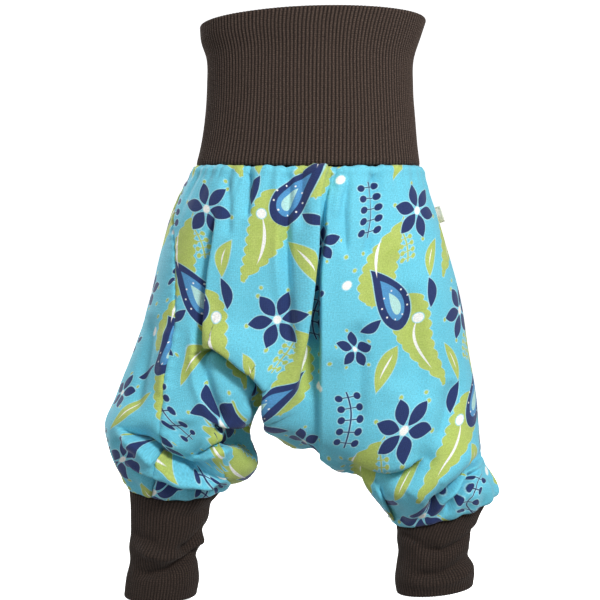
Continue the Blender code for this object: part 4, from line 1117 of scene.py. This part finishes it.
# A panel: the body surface between its side seams, with relief near its edges and an allowance turned inwards. Its
# wrong side lies behind the lowest of the folds round each point, so that it shows nowhere through them.
def makePanel(name, node, side, finish):
    knots, values = zip(*jersey["rowPlaces"])
    down = smooth(knots, values, np.linspace(0, 1, jersey["rows"]))
    shares = panelShares(down, side)
    along = np.repeat(down[:, None], shares.shape[1], axis=1)
    form, away, relief, shift = bodySurface(shares, along)
    u, v = clothPlaces(form + away * (relief * jersey["printCalm"])[..., None])
    atSeams, rise = seamRelief(u, v, shares)
    half, turned, step = jersey["thickness"] / 2, jersey["allowance"], jersey["innerStep"]
    lift = rise[..., None] * (0, 0, 1)
    right = form + away * relief[..., None] + shift
    right = right + gridNormals(right) * (atSeams + half)[..., None] + lift
    wrong = form + away * (lowest(relief + atSeams, step) - half)[..., None] + lift
    right, wrong = turnIn(right, gridNormals(right), turned), turnIn(wrong, away, turned)
    away = np.pad(away, ((1, 1), (1, 1), (0, 0)), mode="edge")
    proud = ((coarsely(wrong, step) - wrong) * away).sum(axis=-1)
    wrong = wrong + away * lowest(np.minimum(-proud, 0), step)[..., None]
    u, v = np.pad(u, 1, mode="edge"), np.pad(v, 1, mode="edge")
    for border, way in ((u[:, 0], -1), (u[:, -1], 1), (v[0], -1), (v[-1], 1)):
        border += way * turned
    return dress(addPiece(name, *shellOf(right, wrong, np.stack([u, -v], axis=-1), step), {}, (finish, wrongSide)),
                 node)


front = makePanel("frontPanel", "front", -1, frontJersey)
back = makePanel("backPanel", "back", 1, backJersey)
print("panels made")


# Loops of points round the middle of a tube's wall, at heights from 0, the seam, to 1, the free edge: smooth curves
# through the rings, whose levels stand in the column levelAt.
def tubeMiddle(rings, levelAt, half, share, heights):
    levels = np.array([ring[levelAt] for ring in rings])
    loops = np.stack([readRow(closedRow(half(ring, -1), half(ring, 1)), share) for ring in rings])
    return smooth((levels - levels[0]) / (levels[-1] - levels[0]), loops, heights)


# Unit normals of the loops, the cross product of the slopes down and round, turned away from each loop's middle.
def tubeNormals(loops):
    normal = np.cross(np.gradient(loops, axis=0), np.roll(loops, -1, axis=1) - np.roll(loops, 1, axis=1))
    outwards = (normal * (loops - loops.mean(axis=1, keepdims=True))).sum(axis=(1, 2), keepdims=True)
    return unit(normal * np.sign(outwards))


# A doubled rib tube, closed: up the outside, over a half-round fold at the free edge, and down the inside.
# Each rib is height x |cos|^roundness across its pitch.
def makeRibTube(name, node, rings, levelAt, half, size, folds, creaseRows, finish):
    ribs, height, outerRows = size
    columns = ribs * rib["samples"]
    share = np.linspace(0, 2, columns, endpoint=False)
    middle = tubeMiddle(rings, levelAt, half, share, np.linspace(0, 1, outerRows))
    normal = tubeNormals(middle)
    length = runningTotal(stepLengths(middle).mean(axis=1))[:, None]
    number = share * ribs / 2
    sway, swayRibs = rib["straySway"]
    stray = rib["wander"] * np.sin(length / rib["strayLength"] + sway * np.sin(number / swayRibs))
    crest = np.abs(np.cos(np.pi * (number + stray))) ** rib["roundness"]
    relief = foldRelief(middle, folds) + creaseRelief(middle, creaseRows)
    relief = relief - rib["seamDip"] * bell(length, rib["seamWidth"])
    wall, raised = rib["wall"] / 2, height * (crest - 0.5)
    outer = middle + normal * (wall + relief + raised)[..., None]

    turn = np.linspace(0, np.pi, rib["crownRows"] + 2)[1:-1, None]
    edge = unit(middle[-1] - middle[-2])
    fade = 1 - (1 - rib["innerShare"]) * (turn / np.pi) - rib["crownDip"] * np.sin(turn)
    swing = np.cos(turn)[..., None] * normal[-1] + np.sin(turn)[..., None] * edge
    crown = middle[-1] + swing * (wall + raised[-1] * fade)[..., None]
    crown += normal[-1] * (relief[-1] * np.cos(turn / 2))[..., None]

    pick = np.linspace(outerRows - 1, 0, rib["innerRows"]).round().astype(int)
    inner = middle[pick] - normal[pick] * (wall + rib["innerShare"] * raised[pick] - relief[pick])[..., None]
    points = np.concatenate([outer, crown, inner])
    crests = np.concatenate([crest, np.repeat(crest[-1:], len(crown), axis=0), crest[pick]])
    girth = np.linalg.norm(middle[0] - np.roll(middle[0], 1, axis=0), axis=1).sum()
    v = runningTotal(stepLengths(points).mean(axis=1))[:, None]
    uv = np.stack(np.broadcast_arrays(share * girth / 2, v), axis=-1).reshape(-1, 2)
    around = np.arange(columns)
    last, following = columns * (len(points) - 1), np.roll(around, -1)
    seamFaces = np.stack([last + around, last + following, following, around], axis=-1)
    faces = np.concatenate([gridFaces(len(points), columns, closed=True), seamFaces])
    if middle[-1, 0, 2] < middle[0, 0, 2]:
        faces = faces[:, [0, 3, 2, 1]]  # they point outwards where the tube rises, and are reversed where it falls
    return dress(addPiece(name, points.reshape(-1, 3), [(faces, 0)], uv, {"rib": crests}, (finish,)), node)


band = makeRibTube("ribWaistband", "waistband", bandRings, 0, halfRing, rib["band"], bandDents, (), bandRib)
rightCuff, leftCuff = [
    makeRibTube(name, node, rings, 1, cuffHalfRing, rib["cuff"], cuffFolds, cuffCreases, cuffRib)
    for name, node, rings in (("rightCuff", "cuff_right", rightCuffRings), ("leftCuff", "cuff_left", leftCuffRings))
]
print("rib tubes made")

label = {
    "top": 0.122,
    "bottom": 0.166,
    "height": 12.6,
    "reach": 5,
    "forward": 1,
    "shift": 0.012,
    "clearance": 1.6,
    "loop": 0.45,  # half the thickness of the folded loop
    "tape": 0.3,
    "rows": 9,
    "flatColumns": 6,
    "foldColumns": 5,
}


# The label: a strip of tape out from the seam, round a fold and back.
def makeLabel():
    along = np.linspace(label["top"], label["bottom"], label["rows"])
    share = panelShares(along, -1)[:, -1] - label["shift"]
    normal, form = outward(share, along), bodyForm(share, along)
    lean = unit(normal - (0, label["forward"], 0))
    sideways = unit(np.cross(lean, np.gradient(form, axis=0)))
    flat = label["flatColumns"]
    out = np.linspace(0, label["reach"] - label["loop"], flat)
    turn = np.linspace(0, np.pi, label["foldColumns"] + 2)[1:-1]
    reach = np.concatenate([out, out[-1] + label["loop"] * np.sin(turn), out[::-1]])
    aside = label["loop"] * np.concatenate([np.ones(flat), np.cos(turn), -np.ones(flat)])
    root = form + normal * label["clearance"]
    grid = root[:, None] + lean[:, None] * reach[:, None] + sideways[:, None] * aside[:, None]
    length = runningTotal(np.hypot(np.diff(reach), np.diff(aside)))
    drop = np.linspace(0, label["height"], label["rows"])[:, None]
    uv = np.stack(np.broadcast_arrays(length, drop), axis=-1).reshape(-1, 2)
    made = addPiece("sideLabel", grid.reshape(-1, 3), [(gridFaces(*grid.shape[:2]), 0)], uv, {}, (tape,))
    wall = made.modifiers.new("tape", "SOLIDIFY")
    wall.thickness = label["tape"] * mm
    wall.offset = 0
    return dress(made, "side_label")


sideLabel = makeLabel()
print("label made")

studio = {
    "camera": (-7.8, -1100, -163.8),
    "lens": 84.6,
    "sensor": 36,
    "aim": (0, 0, -170),  # where the lights point
    # place, size, power in W
    "lights": (((700, -1220, 620), 380, 24), ((-1150, -1200, 200), 900, 5), ((-900, 1050, 600), 420, 18)),
    # strength of the light from under, level and above, and the slopes between which it changes
    "under": 0.25,
    "horizon": 0.34,
    "sky": 0.23,
    "underSlopes": (-0.3, -0.14),
    "skySlopes": (0.22, 0.38),
    "floor": -399,
    "paperReach": 7000,
    "paperBend": 2000,
    "paperWall": 8000,
    "paperGlow": 0.9,
    "paperGrain": 300,
    "paperRings": 16,
    "paperBendRings": 12,
    "paperColumns": 96,
    "paperMiddle": 0.01,  # the hole in the middle ring, as a share of the reach
}


# White paper all round: a profile carried round the vertical axis, flat to the bend, a quarter circle up, then a wall.
def makePaper():
    finish, tree, shader = newFinish("matt white paper")
    place = addNode(tree, "ShaderNodeTexCoord", {}, out="Object")
    setInputs(tree, shader, {
        "Base Color": mixColours(tree, noise(tree, place, studio["paperGrain"], 3), "F6F6F6", "FFFFFF"),
        "Roughness": 0.95, "Emission Color": "FFFFFF", "Emission Strength": studio["paperGlow"],
    })
    bend, reach, rings, columns = [studio[key] for key in ("paperBend", "paperReach", "paperRings", "paperColumns")]
    turn = np.linspace(0, np.pi / 2, studio["paperBendRings"] + 1)[1:]
    flat = reach * np.linspace(studio["paperMiddle"], 1, rings) ** 2
    radius = np.concatenate([flat, reach + bend * np.sin(turn), [reach + bend]])
    height = np.concatenate([np.zeros(rings), bend * (1 - np.cos(turn)), [studio["paperWall"]]]) + studio["floor"]
    turns = np.linspace(0, 2 * np.pi, columns, endpoint=False)
    grid = np.stack(np.broadcast_arrays(
        radius[:, None] * np.cos(turns), radius[:, None] * np.sin(turns), height[:, None]), axis=-1)
    faceSets = [(gridFaces(len(radius), columns, closed=True)[:, ::-1], 0), (np.arange(columns)[None], 0)]
    made = addPiece("paper", grid.reshape(-1, 3), faceSets, grid[..., :2].reshape(-1, 2), {}, (finish,))
    made.visible_diffuse = False  # the paper shows white and takes shadows, and neither throws nor blocks light
    made.visible_shadow = False


# The camera, the softboxes and a sky whose strength steps smoothly with height: under, horizon, sky.
def makeStudio():
    scene = bpy.context.scene
    camera = bpy.data.objects.new("camera", bpy.data.cameras.new("camera"))
    camera.data.lens = studio["lens"]
    camera.data.sensor_width = studio["sensor"]
    camera.location = Vector(studio["camera"]) * mm
    camera.rotation_euler = (np.pi / 2, 0, 0)
    scene.collection.objects.link(camera)
    scene.camera = camera
    for place, size, power in studio["lights"]:
        lamp = bpy.data.objects.new("softbox", bpy.data.lights.new("softbox", "AREA"))
        lamp.data.size = size * mm
        lamp.data.energy = power
        lamp.location = Vector(place) * mm
        lamp.rotation_euler = (Vector(studio["aim"]) * mm - lamp.location).to_track_quat("-Z", "Y").to_euler()
        scene.collection.objects.link(lamp)
    scene.world = bpy.data.worlds.new("studio")
    scene.world.use_nodes = True
    tree = scene.world.node_tree
    way = addNode(tree, "ShaderNodeTexCoord", {}, out="Generated")
    height = addNode(tree, "ShaderNodeSeparateXYZ", {0: way}, out=2)
    strength = studio["sky"]
    for level, slopes in (("horizon", "skySlopes"), ("under", "underSlopes")):
        strength = mapRange(tree, height, *studio[slopes], studio[level], strength, interpolation_type="SMOOTHSTEP")
    setInputs(tree, tree.nodes["Background"], {"Strength": strength, "Color": "FFFFFF"})
    scene.view_settings.view_transform = "Standard"


makePaper()
makeStudio()
print("studio made")
